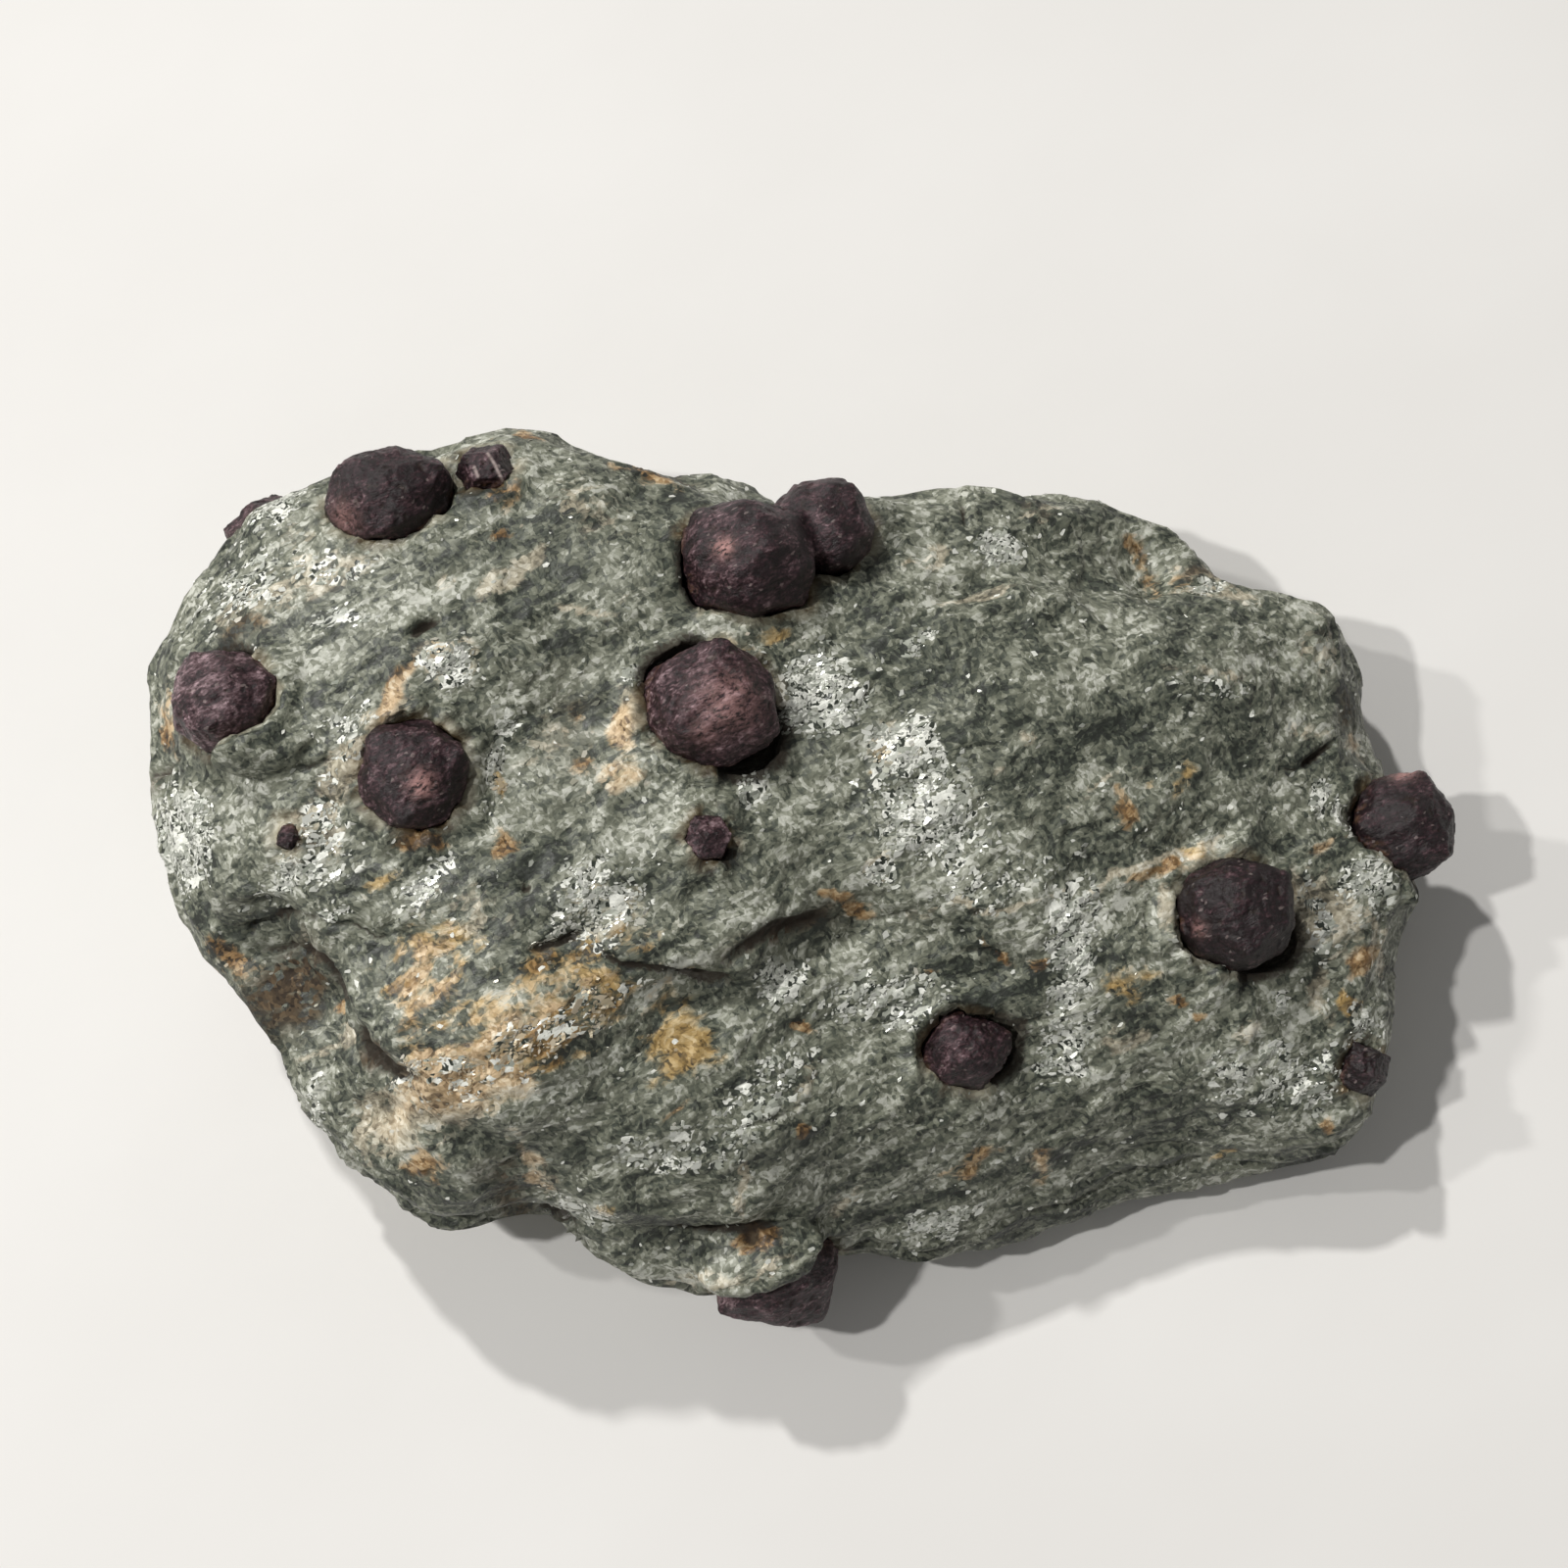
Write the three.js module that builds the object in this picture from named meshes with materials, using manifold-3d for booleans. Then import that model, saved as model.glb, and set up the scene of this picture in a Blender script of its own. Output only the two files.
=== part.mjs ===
// Hand specimen of garnet schist: one slab of green-grey chlorite and mica schist, with garnet crystals
// standing in pockets of it. Millimetres, +Z up. The slab lies on its flat cleaved underside, and the
// origin is at the middle of the specimen's box, on that underside.
import * as THREE from 'three';
import Module from 'manifold-3d';
import { ConvexGeometry } from 'three/addons/geometries/ConvexGeometry.js';
import { ImprovedNoise } from 'three/addons/math/ImprovedNoise.js';
import { mergeVertices } from 'three/addons/utils/BufferGeometryUtils.js';

const wasm = await Module();
wasm.setup();

// Driving dimensions of the slab.
const crown = { from: -40, to: 62, left: 40.5, right: 24 }; // the top's height, which falls along X
const cutDepth = 1.8; // how far the uncut underside would reach below the cleaved face
const middle = { x: -2, y: 4 }; // the point that the plan outline goes round
// How full the slab's sections are, where 2 is an ellipse and more is squarer.
const crownFullness = { steep: 2.6, gentle: 1.5, gentleTowards: -55 };
const bellyFullness = 2.7;
const lineation = THREE.MathUtils.degToRad(27); // the direction that the mica streaks run in
const meshDetail = 15; // how finely the slab's surface is divided
const topShare = 0.3; // moves mesh points from the underside to the top
const pocketGap = 0.35; // between a crystal and its pocket
const mergeDistance = 1e-4; // corners closer than this are one

// Plan outline at the slab's widest level, clockwise from the left end: x, y and that level.
const outline = [
  [-66.6, 12.8, 20],
  [-67.3, 21, 20],
  [-62.4, 30.9, 20],
  [-56.9, 37.3, 22],
  [-47.4, 41.4, 24],
  [-35.6, 45.1, 25],
  [-30.3, 47.6, 25],
  [-16.6, 42.9, 24],
  [-7, 41.8, 22.5],
  [-1, 38.9, 21.5],
  [7.5, 39.8, 20],
  [12, 40.8, 19],
  [28.3, 42.1, 16],
  [35.8, 39.9, 15],
  [41.7, 35.9, 14],
  [45.2, 32, 13.5],
  [49.5, 32, 13],
  [55.1, 30.8, 12],
  [58.4, 25.9, 11],
  [59.8, 16.7, 10],
  [62.7, 10.3, 11],
  [65.1, 4, 11.5],
  [63.2, -3.6, 12],
  [62.4, -10, 12],
  [60.6, -18.3, 12.5],
  [56.7, -27.2, 8.5],
  [50.3, -28.7, 6],
  [36.5, -31, 5],
  [28.1, -34, 5],
  [15.4, -37.2, 6],
  [6.6, -36.7, 9],
  [-3.6, -41, 12],
  [-11.7, -39.7, 12],
  [-17.6, -38, 12],
  [-25.7, -33.6, 13],
  [-30.4, -32.6, 14],
  [-36.4, -34.9, 14],
  [-40.6, -31.4, 15],
  [-46.1, -26.8, 16],
  [-50.8, -22.4, 17],
  [-53.1, -16.6, 18],
  [-61.1, -6.1, 19],
  [-66, 6, 20],
];

// Lumps and hollows of the top: middle, radii along and across their long axis, its angle, and height.
const swells = [
  { name: 'right plateau', x: 32.1, y: 15.4, along: 25, across: 13, turn: 8, rise: 2.2 },
  { name: 'left lobe', x: -50, y: 18.9, along: 15, across: 14, turn: 0, rise: 1.8 },
  { name: 'rusty bulge', x: -30.1, y: -15.8, along: 15, across: 8, turn: 27, rise: 2 },
  { name: 'front left toe', x: -37.2, y: -28.9, along: 7, across: 4, turn: 0, rise: 3 },
  { name: 'front shelf', x: 23, y: -22.4, along: 20, across: 6, turn: 10, rise: 2 },
  { name: 'back shoulder', x: -22.1, y: 36.5, along: 16, across: 7, turn: -12, rise: 1.8 },
  { name: 'knob at the back', x: 42.3, y: 32.5, along: 3, across: 2.6, turn: 0, rise: 1.8 },
  { name: 'right crag', x: 59.6, y: -0.5, along: 7, across: 6, turn: 60, rise: 2 },
  { name: 'valley left of the middle', x: -25.1, y: 12.4, along: 17, across: 5, turn: 40, rise: -1.6 },
  { name: 'dip at the pair', x: 9.2, y: 32.8, along: 7, across: 4, turn: 30, rise: -2 },
  { name: 'back scoop', x: 35.5, y: 33.5, along: 5, across: 4, turn: 70, rise: -2.4 },
  { name: 'dip by the centre garnet', x: -1.5, y: 11.7, along: 5, across: 3, turn: 50, rise: -1.8 },
  { name: 'front centre socket', x: 16.7, y: -17.5, along: 8, across: 3.4, turn: -8, rise: -1.8 },
  { name: 'flap over the left end garnet', x: -53, y: 11.9, along: 5, across: 2.6, turn: -35, rise: 1.6 },
  { name: 'flap over the front centre garnet', x: 17.2, y: -13.4, along: 4, across: 1.6, turn: 0, rise: 1.2 },
];

// Steps in the top. Walking along the line, the ground on the right drops by `drop`, and climbs back
// over `reach`.
const scarps = [
  {
    name: 'middle gully',
    line: [
      [-24.1, -6.1], [-17.2, -10], [-12.1, -11.4], [-5.6, -11.6],
      [-1.6, -7.5], [6.2, -3.3], [12.4, -4.5], [21.7, -8.4],
    ],
    drop: 3.4,
    reach: 15,
  },
  { name: 'left slab edge', line: [[-58, -4.5], [-50, -5], [-41, -6.2], [-33.1, -6.9]], drop: 2, reach: 12 },
  {
    name: 'left pit',
    line: [[-61, -3], [-52, -5.5], [-47, -11], [-45.7, -16.3], [-38.1, -21.9]],
    drop: 6.5,
    reach: 12,
  },
  {
    name: 'front brink',
    line: [[-25.2, -30.8], [-17.2, -34.7], [-11.2, -35], [-4.6, -34.9], [6.2, -32.2]],
    drop: 8,
    reach: 9,
  },
  {
    name: 'front groove',
    line: [[-48, -22], [-38.1, -24.4], [-28.2, -27.8], [-23.1, -32.8]],
    drop: 3,
    reach: 7,
  },
  {
    name: 'back ledge',
    line: [[48.7, 30.6], [37.2, 30.8], [28.8, 30.4], [22.8, 30.6], [12.3, 25.9]],
    drop: 4,
    reach: 14,
  },
  {
    name: 'right plate',
    line: [[64.4, 5.4], [57.6, 6.5], [50.6, 3.1], [45.8, 4.4], [33.2, -2]],
    drop: 1.6,
    reach: 10,
  },
];

// Garnet crystals: middle in plan, diameters along X, Y and up, turn of the crystal's own axes in degrees,
// and either `proud`, the height of its middle over the schist round it, or `level`, its height over the
// underside. `heading` turns a long crystal in plan. A crystal stands on a corner of three faces, a face or
// an odd edge.
const threeFold = [45, -35];
const faceUp = [45, 0];
const garnets = [
  {
    name: 'garnet_back_left',
    x: -41.4,
    y: 37.3,
    sizes: [13.6, 10.6, 11],
    turn: [...threeFold, 15],
    heading: 10,
    level: 34.5,
  },
  { name: 'garnet_striated', x: -31.7, y: 40, sizes: [5.8, 5.2, 5.4], turn: [...faceUp, 60], proud: 0 },
  {
    name: 'garnet_back_left_sliver',
    x: -55.7,
    y: 37,
    sizes: [7.8, 6, 7],
    turn: [12, 8, 45],
    heading: 40,
    level: 21.5,
  },
  { name: 'garnet_left_end', x: -57.3, y: 16, sizes: [11.4, 10.8, 11.2], turn: [30, -25, 20], proud: -0.5 },
  {
    name: 'garnet_left_centre',
    x: -38.1,
    y: 8.1,
    sizes: [11.7, 11.9, 11.4],
    turn: [...threeFold, 20],
    proud: 0.2,
  },
  { name: 'garnet_speck', x: -50.5, y: 2.3, sizes: [2.6, 2.9, 2.8], turn: [10, 20, 30], proud: 0.1 },
  { name: 'garnet_centre', x: -8.9, y: 15.7, sizes: [14, 13.4, 13.2], turn: [38, -14, -24], proud: 0 },
  {
    name: 'garnet_centre_small',
    x: -9.1,
    y: 2.2,
    sizes: [4.6, 4.8, 4.8],
    turn: [...threeFold, 5],
    proud: 0.2,
  },
  { name: 'garnet_right_end', x: 63, y: 6.9, sizes: [12.2, 12, 12], turn: [50, -25, 70], level: 13.5 },
  {
    name: 'garnet_right_centre',
    x: 44.4,
    y: -3.5,
    sizes: [13.1, 12.1, 12.9],
    turn: [42, -28, 38],
    proud: 0.5,
  },
  { name: 'garnet_front_centre', x: 16.7, y: -17.4, sizes: [9.1, 8.1, 8.3], turn: [20, -12, 20], proud: 0.9 },
  {
    name: 'garnet_front_right_small',
    x: 58.2,
    y: -18.5,
    sizes: [5.2, 5.2, 5.2],
    turn: [25, 5, 22],
    proud: 0.1,
  },
  { name: 'garnet_front_edge', x: -2.4, y: -38.6, sizes: [13.8, 12.8, 12.6], turn: [10, 8, 40], level: 10.5 },
  { name: 'garnet_back_side', x: 16.2, y: 38.7, sizes: [10.5, 10, 10], turn: [22, 14, 9], level: 10 },
  { name: 'garnet_back_right_side', x: 44.4, y: 29, sizes: [6.6, 7, 6.6], turn: [5, 28, 33], level: 6.5 },
  { name: 'garnet_underside', x: -54.5, y: -4, sizes: [9, 9.6, 9], turn: [18, 33, 27], level: 6 },
];

// The two crystals that grew together.
const pair = {
  name: 'garnet_pair',
  crystals: [
    { x: -5.1, y: 30.9, sizes: [14.2, 12.4, 12.8], turn: [12, -8, 45], proud: 0.3 },
    { x: 2.3, y: 35.3, sizes: [10.9, 10.9, 11.1], turn: [...threeFold, 50], level: 29.3 },
  ],
};

// Relief by smooth noise: the length of a lump each way, and its height. `seed` picks another pattern.
const broadLumps = { length: 19, width: 15, depth: 15, height: 1.3 };
const furrows = { length: 13, width: 5, depth: 6, height: 1.2 };
const undersideSteps = { length: 14, width: 11, seed: 7, height: 3 };
const undersideFlat = 0.8; // share of the belly's arch from which the cleaved face is plain
const ledgeBands = { around: 2.5, thickness: 3.6, seed: 0, height: 2.4 };
const ledgeChips = { around: 9, thickness: 7, seed: 20, height: 1.4 };
const ledgeZone = { from: 0.82, to: 0.97 }; // shares of the rim's radius between which the ledges grow
const rimFade = 0.55; // share of the arch over which the top's relief grows in from the rim

const schistMaterial = { color: 0x626a5c, roughness: 0.45, metalness: 0 };
const garnetMaterial = { color: 0x46343a, roughness: 0.35, metalness: 0 };

const noise = new ImprovedNoise();
const { clamp, degToRad, lerp, smoothstep } = THREE.MathUtils;

// ---- the slab's outline as radius and widest level by angle -------------------------------------------

const rimSteps = 900;
const rim = new THREE.CatmullRomCurve3(
  outline.map(([x, y, level]) => new THREE.Vector3(x - middle.x, y - middle.y, level)),
  true,
  'centripetal',
)
  .getSpacedPoints(rimSteps)
  .map((p) => ({ angle: Math.atan2(p.y, p.x), radius: Math.hypot(p.x, p.y), level: p.z }))
  .sort((a, b) => a.angle - b.angle);

function rimAt(angle) {
  const found = rim.findIndex((p) => p.angle >= angle);
  const next = found < 0 ? 0 : found;
  const last = next === 0 ? rim.length - 1 : next - 1;
  const turn = (to, from) => THREE.MathUtils.euclideanModulo(to - from, 2 * Math.PI);
  const span = turn(rim[next].angle, rim[last].angle);
  const share = span > 0 ? turn(angle, rim[last].angle) / span : 0;
  return {
    radius: lerp(rim[last].radius, rim[next].radius, share),
    level: lerp(rim[last].level, rim[next].level, share),
  };
}

// ---- relief -------------------------------------------------------------------------------------------

function swellAt(x, y, swell) {
  const turn = degToRad(swell.turn);
  const along = ((x - swell.x) * Math.cos(turn) + (y - swell.y) * Math.sin(turn)) / swell.along;
  const across = ((y - swell.y) * Math.cos(turn) - (x - swell.x) * Math.sin(turn)) / swell.across;
  return swell.rise * Math.exp(-(along * along + across * across));
}

function scarpAt(x, y, { line, drop, reach }) {
  let nearest = Infinity;
  let onRight = false;
  let walked = 0;
  for (let i = 0; i + 1 < line.length; i++) {
    const [ax, ay] = line[i];
    const [bx, by] = line[i + 1];
    const [dx, dy] = [bx - ax, by - ay];
    const share = clamp(((x - ax) * dx + (y - ay) * dy) / (dx * dx + dy * dy), 0, 1);
    const distance = Math.hypot(x - ax - share * dx, y - ay - share * dy);
    if (distance < nearest) {
      nearest = distance;
      onRight = dx * (y - ay) - dy * (x - ax) < 0;
      walked = (i + share) / (line.length - 1);
    }
  }
  if (!onRight) return 0;
  const fadeToEnds = Math.sqrt(Math.sin(Math.PI * clamp(walked, 0, 1)));
  return -drop * fadeToEnds * (1 - smoothstep(nearest, 0, reach));
}

// Ridges and furrows stretched along the mica streaks, over broad lumps.
function crenulation(x, y, z) {
  const along = x * Math.cos(lineation) + y * Math.sin(lineation);
  const across = y * Math.cos(lineation) - x * Math.sin(lineation);
  const lump = noise.noise(x / broadLumps.length, y / broadLumps.width, z / broadLumps.depth);
  const furrow = noise.noise(along / furrows.length, across / furrows.width, z / furrows.depth);
  return broadLumps.height * lump + furrows.height * furrow;
}

function crownAt(x) {
  return lerp(crown.left, crown.right, clamp((x - crown.from) / (crown.to - crown.from), 0, 1));
}

// The top falls away more gently towards the front right.
function fullnessAt(angle) {
  const towards = (1 + Math.cos(angle - degToRad(crownFullness.gentleTowards))) / 2;
  return lerp(crownFullness.steep, crownFullness.gentle, towards ** 2);
}

function topHeight(x, y) {
  const dx = x - middle.x;
  const dy = y - middle.y;
  const { radius, level } = rimAt(Math.atan2(dy, dx));
  const share = Math.min(1, Math.hypot(dx, dy) / radius);
  const fullness = fullnessAt(Math.atan2(dy, dx));
  const arch = (1 - share ** fullness) ** (1 / fullness);
  let relief = crenulation(x, y, crown.left);
  for (const swell of swells) relief += swellAt(x, y, swell);
  for (const scarp of scarps) relief += scarpAt(x, y, scarp);
  return level + (crownAt(x) - level) * arch + relief * smoothstep(arch, 0, rimFade);
}

function bellyHeight(x, y) {
  const dx = x - middle.x;
  const dy = y - middle.y;
  const { radius, level } = rimAt(Math.atan2(dy, dx));
  const share = Math.min(1, Math.hypot(dx, dy) / radius);
  const arch = (1 - share ** bellyFullness) ** (1 / bellyFullness);
  const { length, width, seed, height } = undersideSteps;
  const steps = height * noise.noise(x / length, y / width, seed);
  return level - (level + cutDepth) * arch + steps * arch * (1 - smoothstep(arch, undersideFlat, 1));
}

// The broken edges of the mica layers: bands in and out round the side, level with the underside.
function bandAt(angle, z, { around, thickness, seed, height }) {
  return height * noise.noise(around * Math.cos(angle), around * Math.sin(angle), z / thickness + seed);
}

function layerLedge(angle, z) {
  return bandAt(angle, z, ledgeBands) + bandAt(angle, z, ledgeChips);
}

// ---- solids -------------------------------------------------------------------------------------------

function solidOf(geometry) {
  geometry.deleteAttribute('normal');
  geometry.deleteAttribute('uv');
  const merged = mergeVertices(geometry, mergeDistance);
  return new wasm.Manifold(
    new wasm.Mesh({
      numProp: 3,
      vertProperties: new Float32Array(merged.attributes.position.array),
      triVerts: new Uint32Array(merged.index.array),
    }),
  );
}

function geometryOf(solid) {
  const mesh = solid.getMesh();
  const geometry = new THREE.BufferGeometry();
  geometry.setAttribute('position', new THREE.BufferAttribute(mesh.vertProperties, 3));
  geometry.setIndex(new THREE.BufferAttribute(mesh.triVerts, 1));
  geometry.computeVertexNormals();
  return geometry;
}

function slabSolid() {
  const ball = new THREE.IcosahedronGeometry(1, meshDetail);
  ball.deleteAttribute('normal');
  ball.deleteAttribute('uv');
  const slab = mergeVertices(ball, mergeDistance);
  const point = new THREE.Vector3();
  const { position } = slab.attributes;
  for (let i = 0; i < position.count; i++) {
    point.fromBufferAttribute(position, i);
    point.z += topShare;
    point.normalize();
    const angle = Math.atan2(point.y, point.x);
    const share = Math.hypot(point.x, point.y);
    const { radius } = rimAt(angle);
    const x = middle.x + radius * share * Math.cos(angle);
    const y = middle.y + radius * share * Math.sin(angle);
    const z = point.z >= 0 ? topHeight(x, y) : bellyHeight(x, y);
    const ledge = layerLedge(angle, z) * smoothstep(share, ledgeZone.from, ledgeZone.to);
    position.setXYZ(i, x + ledge * Math.cos(angle), y + ledge * Math.sin(angle), z);
  }
  return solidOf(slab);
}

// Garnet's two forms, the rhombic dodecahedron and the trapezohedron, share these three kinds of corners.
function crystalForm(axisReach, edgeReach, cornerReach) {
  const corners = [];
  for (const x of [-1, 0, 1]) {
    for (const y of [-1, 0, 1]) {
      for (const z of [-1, 0, 1]) {
        const kind = Math.abs(x) + Math.abs(y) + Math.abs(z);
        const reach = [0, axisReach, edgeReach, cornerReach][kind];
        if (reach > 0) corners.push(new THREE.Vector3(x, y, z).setLength(reach));
      }
    }
  }
  return solidOf(new ConvexGeometry(corners));
}

const dodecahedron = crystalForm(1, 0, Math.sqrt(3) / 2);
const bevel = 0.88; // at 1 the trapezohedron only touches the dodecahedron's edges
const trapezohedron = crystalForm(bevel, (bevel * 2 * Math.SQRT2) / 3, (bevel * Math.sqrt(3)) / 2);
const facetedCrystal = dodecahedron.intersect(trapezohedron);
const crystalSpan = 1.56; // a unit crystal's mean width
const smallCrystal = 8.5; // crystals under this width show the dodecahedron alone

function crystalPlace({ x, y, sizes, turn, heading = 0, proud, level }, gap = 0) {
  const z = level ?? topHeight(x, y) + proud;
  const ownTurn = new THREE.Euler(...turn.map(degToRad), 'ZYX');
  const stretch = sizes.map((size) => (size + 2 * gap) / crystalSpan);
  return new THREE.Matrix4()
    .makeTranslation(x, y, z)
    .multiply(new THREE.Matrix4().makeRotationZ(degToRad(heading)))
    .multiply(new THREE.Matrix4().makeScale(...stretch))
    .multiply(new THREE.Matrix4().makeRotationFromEuler(ownTurn));
}

function crystalSolid(crystal, gap) {
  const form = crystal.sizes[0] < smallCrystal ? dodecahedron : facetedCrystal;
  return solidOf(geometryOf(form).applyMatrix4(crystalPlace(crystal, gap)));
}

// ---- the specimen -------------------------------------------------------------------------------------

function meshOf(name, solid, material) {
  const mesh = new THREE.Mesh(geometryOf(solid), new THREE.MeshStandardMaterial(material));
  mesh.name = name;
  return mesh;
}

// What the slab is cleaved by: a block wider than the slab, with its top at the underside.
const groundWidth = 200;
const groundDepth = 40;
const ground = new THREE.BoxGeometry(groundWidth, groundWidth, groundDepth).translate(0, 0, -groundDepth / 2);
const crystals = [...garnets, ...pair.crystals];
const schist = crystals.reduce(
  (slab, crystal) => slab.subtract(crystalSolid(crystal, pocketGap)),
  slabSolid().subtract(solidOf(ground)),
);

const specimen = new THREE.Group();
specimen.add(meshOf('schist', schist, schistMaterial));
for (const garnet of garnets) specimen.add(meshOf(garnet.name, crystalSolid(garnet), garnetMaterial));
const [large, small] = pair.crystals.map((crystal) => crystalSolid(crystal));
specimen.add(meshOf(pair.name, large.add(small), garnetMaterial));

const box = new THREE.Box3().setFromObject(specimen);
specimen.position.set(-(box.min.x + box.max.x) / 2, -(box.min.y + box.max.y) / 2, -box.min.z);

export default specimen;
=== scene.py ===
"""Looks of the garnet schist specimen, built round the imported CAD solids: the slab's fine surface, its mica
flakes, the crystals, the floor, the lights and the camera. Lengths are in millimetres.
"""

import itertools
import math
from types import SimpleNamespace

import bmesh
import bpy
import numpy as np
from mathutils import Matrix, Vector
from mathutils.bvhtree import BVHTree


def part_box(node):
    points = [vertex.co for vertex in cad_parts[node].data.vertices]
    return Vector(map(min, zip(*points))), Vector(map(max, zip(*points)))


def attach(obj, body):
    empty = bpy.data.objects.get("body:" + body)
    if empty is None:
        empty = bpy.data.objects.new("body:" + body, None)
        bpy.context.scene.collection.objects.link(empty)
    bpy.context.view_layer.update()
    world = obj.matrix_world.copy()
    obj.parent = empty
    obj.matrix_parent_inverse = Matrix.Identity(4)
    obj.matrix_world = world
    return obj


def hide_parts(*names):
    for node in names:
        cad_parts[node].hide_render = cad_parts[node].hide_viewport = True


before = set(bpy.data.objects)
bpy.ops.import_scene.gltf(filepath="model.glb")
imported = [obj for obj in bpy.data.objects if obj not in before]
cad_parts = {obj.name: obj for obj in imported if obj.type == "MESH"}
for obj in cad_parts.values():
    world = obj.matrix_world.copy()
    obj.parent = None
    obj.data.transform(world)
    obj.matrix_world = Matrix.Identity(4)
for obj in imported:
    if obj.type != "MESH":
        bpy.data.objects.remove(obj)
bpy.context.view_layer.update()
garnet_nodes = sorted(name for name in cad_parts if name.startswith("garnet"))

MM = 0.001
LINEATION = math.radians(27)  # the mica streaks run this way
CROSSING = math.radians(-52)  # shorter fibres that lie across them

# Added to a place in the tables below, this gives its place in the frame.
SHIFT = np.array([-0.70, -1.56, 0])

# ---- sizes ----

COARSE_VOXEL = 0.93
SMOOTHING_ROUNDS = 5
FINE_TOP_NORMAL = 0.42  # faces that look up more than this are divided once more
FINE_TOP_LEVEL = 4.5
FURROWS = [(0.38, 10, 3.8), (0.19, 3.4, 1.7), (0.13, 1.3, 0.95)]  # height, length and width
FLAKE_EDGE_HEIGHT = 0.34
LAYER_THICKNESS = 1.15
LAYER_HEIGHT = 0.42

# How the rock lies round a crystal.
POCKET_MARGIN = 3  # only rock within this of a crystal's corners is looked at
OPEN_GAP = 0.25  # a wider gap is a hollow, where the rock doesn't climb
DEEPEST_HUG = 0.15  # how far the rock may reach into the crystal
HELD_ROCK = 0.6  # nearer rock is drawn all the way to the pocket's wall
FREE_ROCK = 1.0  # farther rock stays where it is
WALL = 0.2  # nearer rock is marked as wall, which fades out at the next distance
WALL_FADE = 1.7

GARNET_FACETS_ACROSS = 56
GARNET_SMALLEST_VOXEL = 0.09
GARNET_SMOOTHING_ROUNDS = 2
BROAD_RELIEF = 0.028  # this and the next two are shares of the crystal's size
FINE_RELIEF = 0.008
GROWTH_STEP = 0.013
STRIPE_HEIGHT = 0.03
PIT_DEPTH = 0.16
SCRATCH_DEPTH = 0.06

FLAKE_COUNT = 5600
FLAKE_CORNERS = 5
FLAKE_RADIUS = 0.17
FLAKE_THICKNESS = 0.04
FLAKE_LIFT = 0.05
FLAKE_LEAN = 0.22  # how far a flake leans from its face
FLAKE_STRAYING = 0.5  # how far its length strays from the mica streaks
STRAY_FLAKES = 0.003  # chance of a flake on bare rock, beside 1 in a mica patch

# The camera looks down from the front, at this elevation and distance from the point it aims at.
CAMERA_ELEVATION = math.radians(80)
CAMERA_DISTANCE = 400
CAMERA_AIM = np.array([-1.6, 9.6, 25]) + SHIFT
CAMERA_HALF_WIDTH = 0.2  # half the picture's width over its distance

# ---- named places on the slab ----

# Cracks and the feet of ledges: route in plan, width and depth of the groove. The grooves are also painted
# near black, as painted shade.
CRACKS = [
    ("middle gully", [(-20.4, -8.4), (-17.5, -10.4), (-12.8, -11.1), (-9, -11.4), (-6, -11.9)], 0.55, 1),
    ("gully bank", [(-9, -11.3), (-5.5, -8.5), (-2.3, -6.4), (1.3, -5.2), (3.9, -4.5)], 1.2, 0.8),
    ("lens", [(-26.8, -9.3), (-24.7, -8.6), (-22.8, -7.9), (-21.2, -7)], 0.75, 1),
    ("slit", [(-38.5, 22.2), (-37.4, 23.1), (-35.9, 23.7)], 0.8, 1.1),
    ("left overhang", [(-55.9, -6.5), (-54.7, -5.4), (-52.3, -4.8), (-49.3, -5.3), (-47.2, -6)], 0.5, 0.8),
    ("left crack", [(-47.2, -6), (-43.8, -6.2), (-41.9, -7.3), (-39.8, -7.2)], 0.32, 0.6),
    ("pit rim", [(-55, -7.4), (-51, -7.4), (-47.9, -9.2), (-46.2, -11.3), (-44.8, -14.7)], 0.65, 0.9),
    ("crevice", [(-44.5, -15.5), (-43.3, -17.9), (-41.4, -19.9), (-37.3, -21.6)], 0.9, 1.2),
    ("left end crystal", [(-64.3, 21.1), (-60.3, 20), (-57.4, 20.3), (-55.2, 19.2)], 0.5, 0.8),
    ("left shadow", [(-50.7, 8.6), (-47.6, 9.2), (-44.2, 10.6)], 0.5, 0.5),
    ("left edge", [(-67.4, 10.8), (-64.7, 11.1), (-61.4, 11.6)], 0.7, 0.7),
    ("gully thread", [(4.3, -4.5), (8.3, -4.5), (12.4, -4.4)], 0.3, 0.4),
    ("right thread", [(15.7, -7.7), (18.6, -7.7), (20.6, -8.3)], 0.3, 0.5),
    ("short slit", [(17.1, -4.7), (18.3, -4)], 0.45, 0.6),
    ("front thread", [(21.9, -14.6), (25.2, -14.3), (28.6, -13.9)], 0.3, 0.4),
    ("brink", [(-14.6, -34.9), (-9.6, -35.2), (-5.6, -35.4), (-2.3, -34.8)], 0.6, 1.1),
    ("right crack", [(52.1, 12.5), (53.6, 13.7), (55.6, 15.5)], 0.55, 1.1),
    ("right crack foot", [(49.4, 11.9), (52.1, 12.5)], 0.4, 0.6),
    ("right block", [(51.1, 2.5), (53.5, 3.6), (56.5, 5.4)], 0.35, 0.5),
    ("behind the knob", [(34.5, 37.3), (36.8, 34.7), (38, 31.9)], 0.5, 0.6),
    ("back notch", [(16.3, 41.2), (17.1, 38), (17.6, 36.2)], 0.45, 0.6),
    ("front left", [(-26.9, -32.4), (-25.9, -33), (-22.5, -34.8)], 0.7, 0.9),
    ("centre mica", [(6, 16.2), (6.8, 17.4), (7.6, 18.8)], 0.35, 0.6),
    ("front ledge", [(-7, -26.4), (-2.6, -24.7), (1.3, -22.6)], 0.35, 0.5),
    ("back left thread", [(-61.7, 26.3), (-59.6, 27.2), (-57.1, 28.4)], 0.3, 0.4),
]

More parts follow.
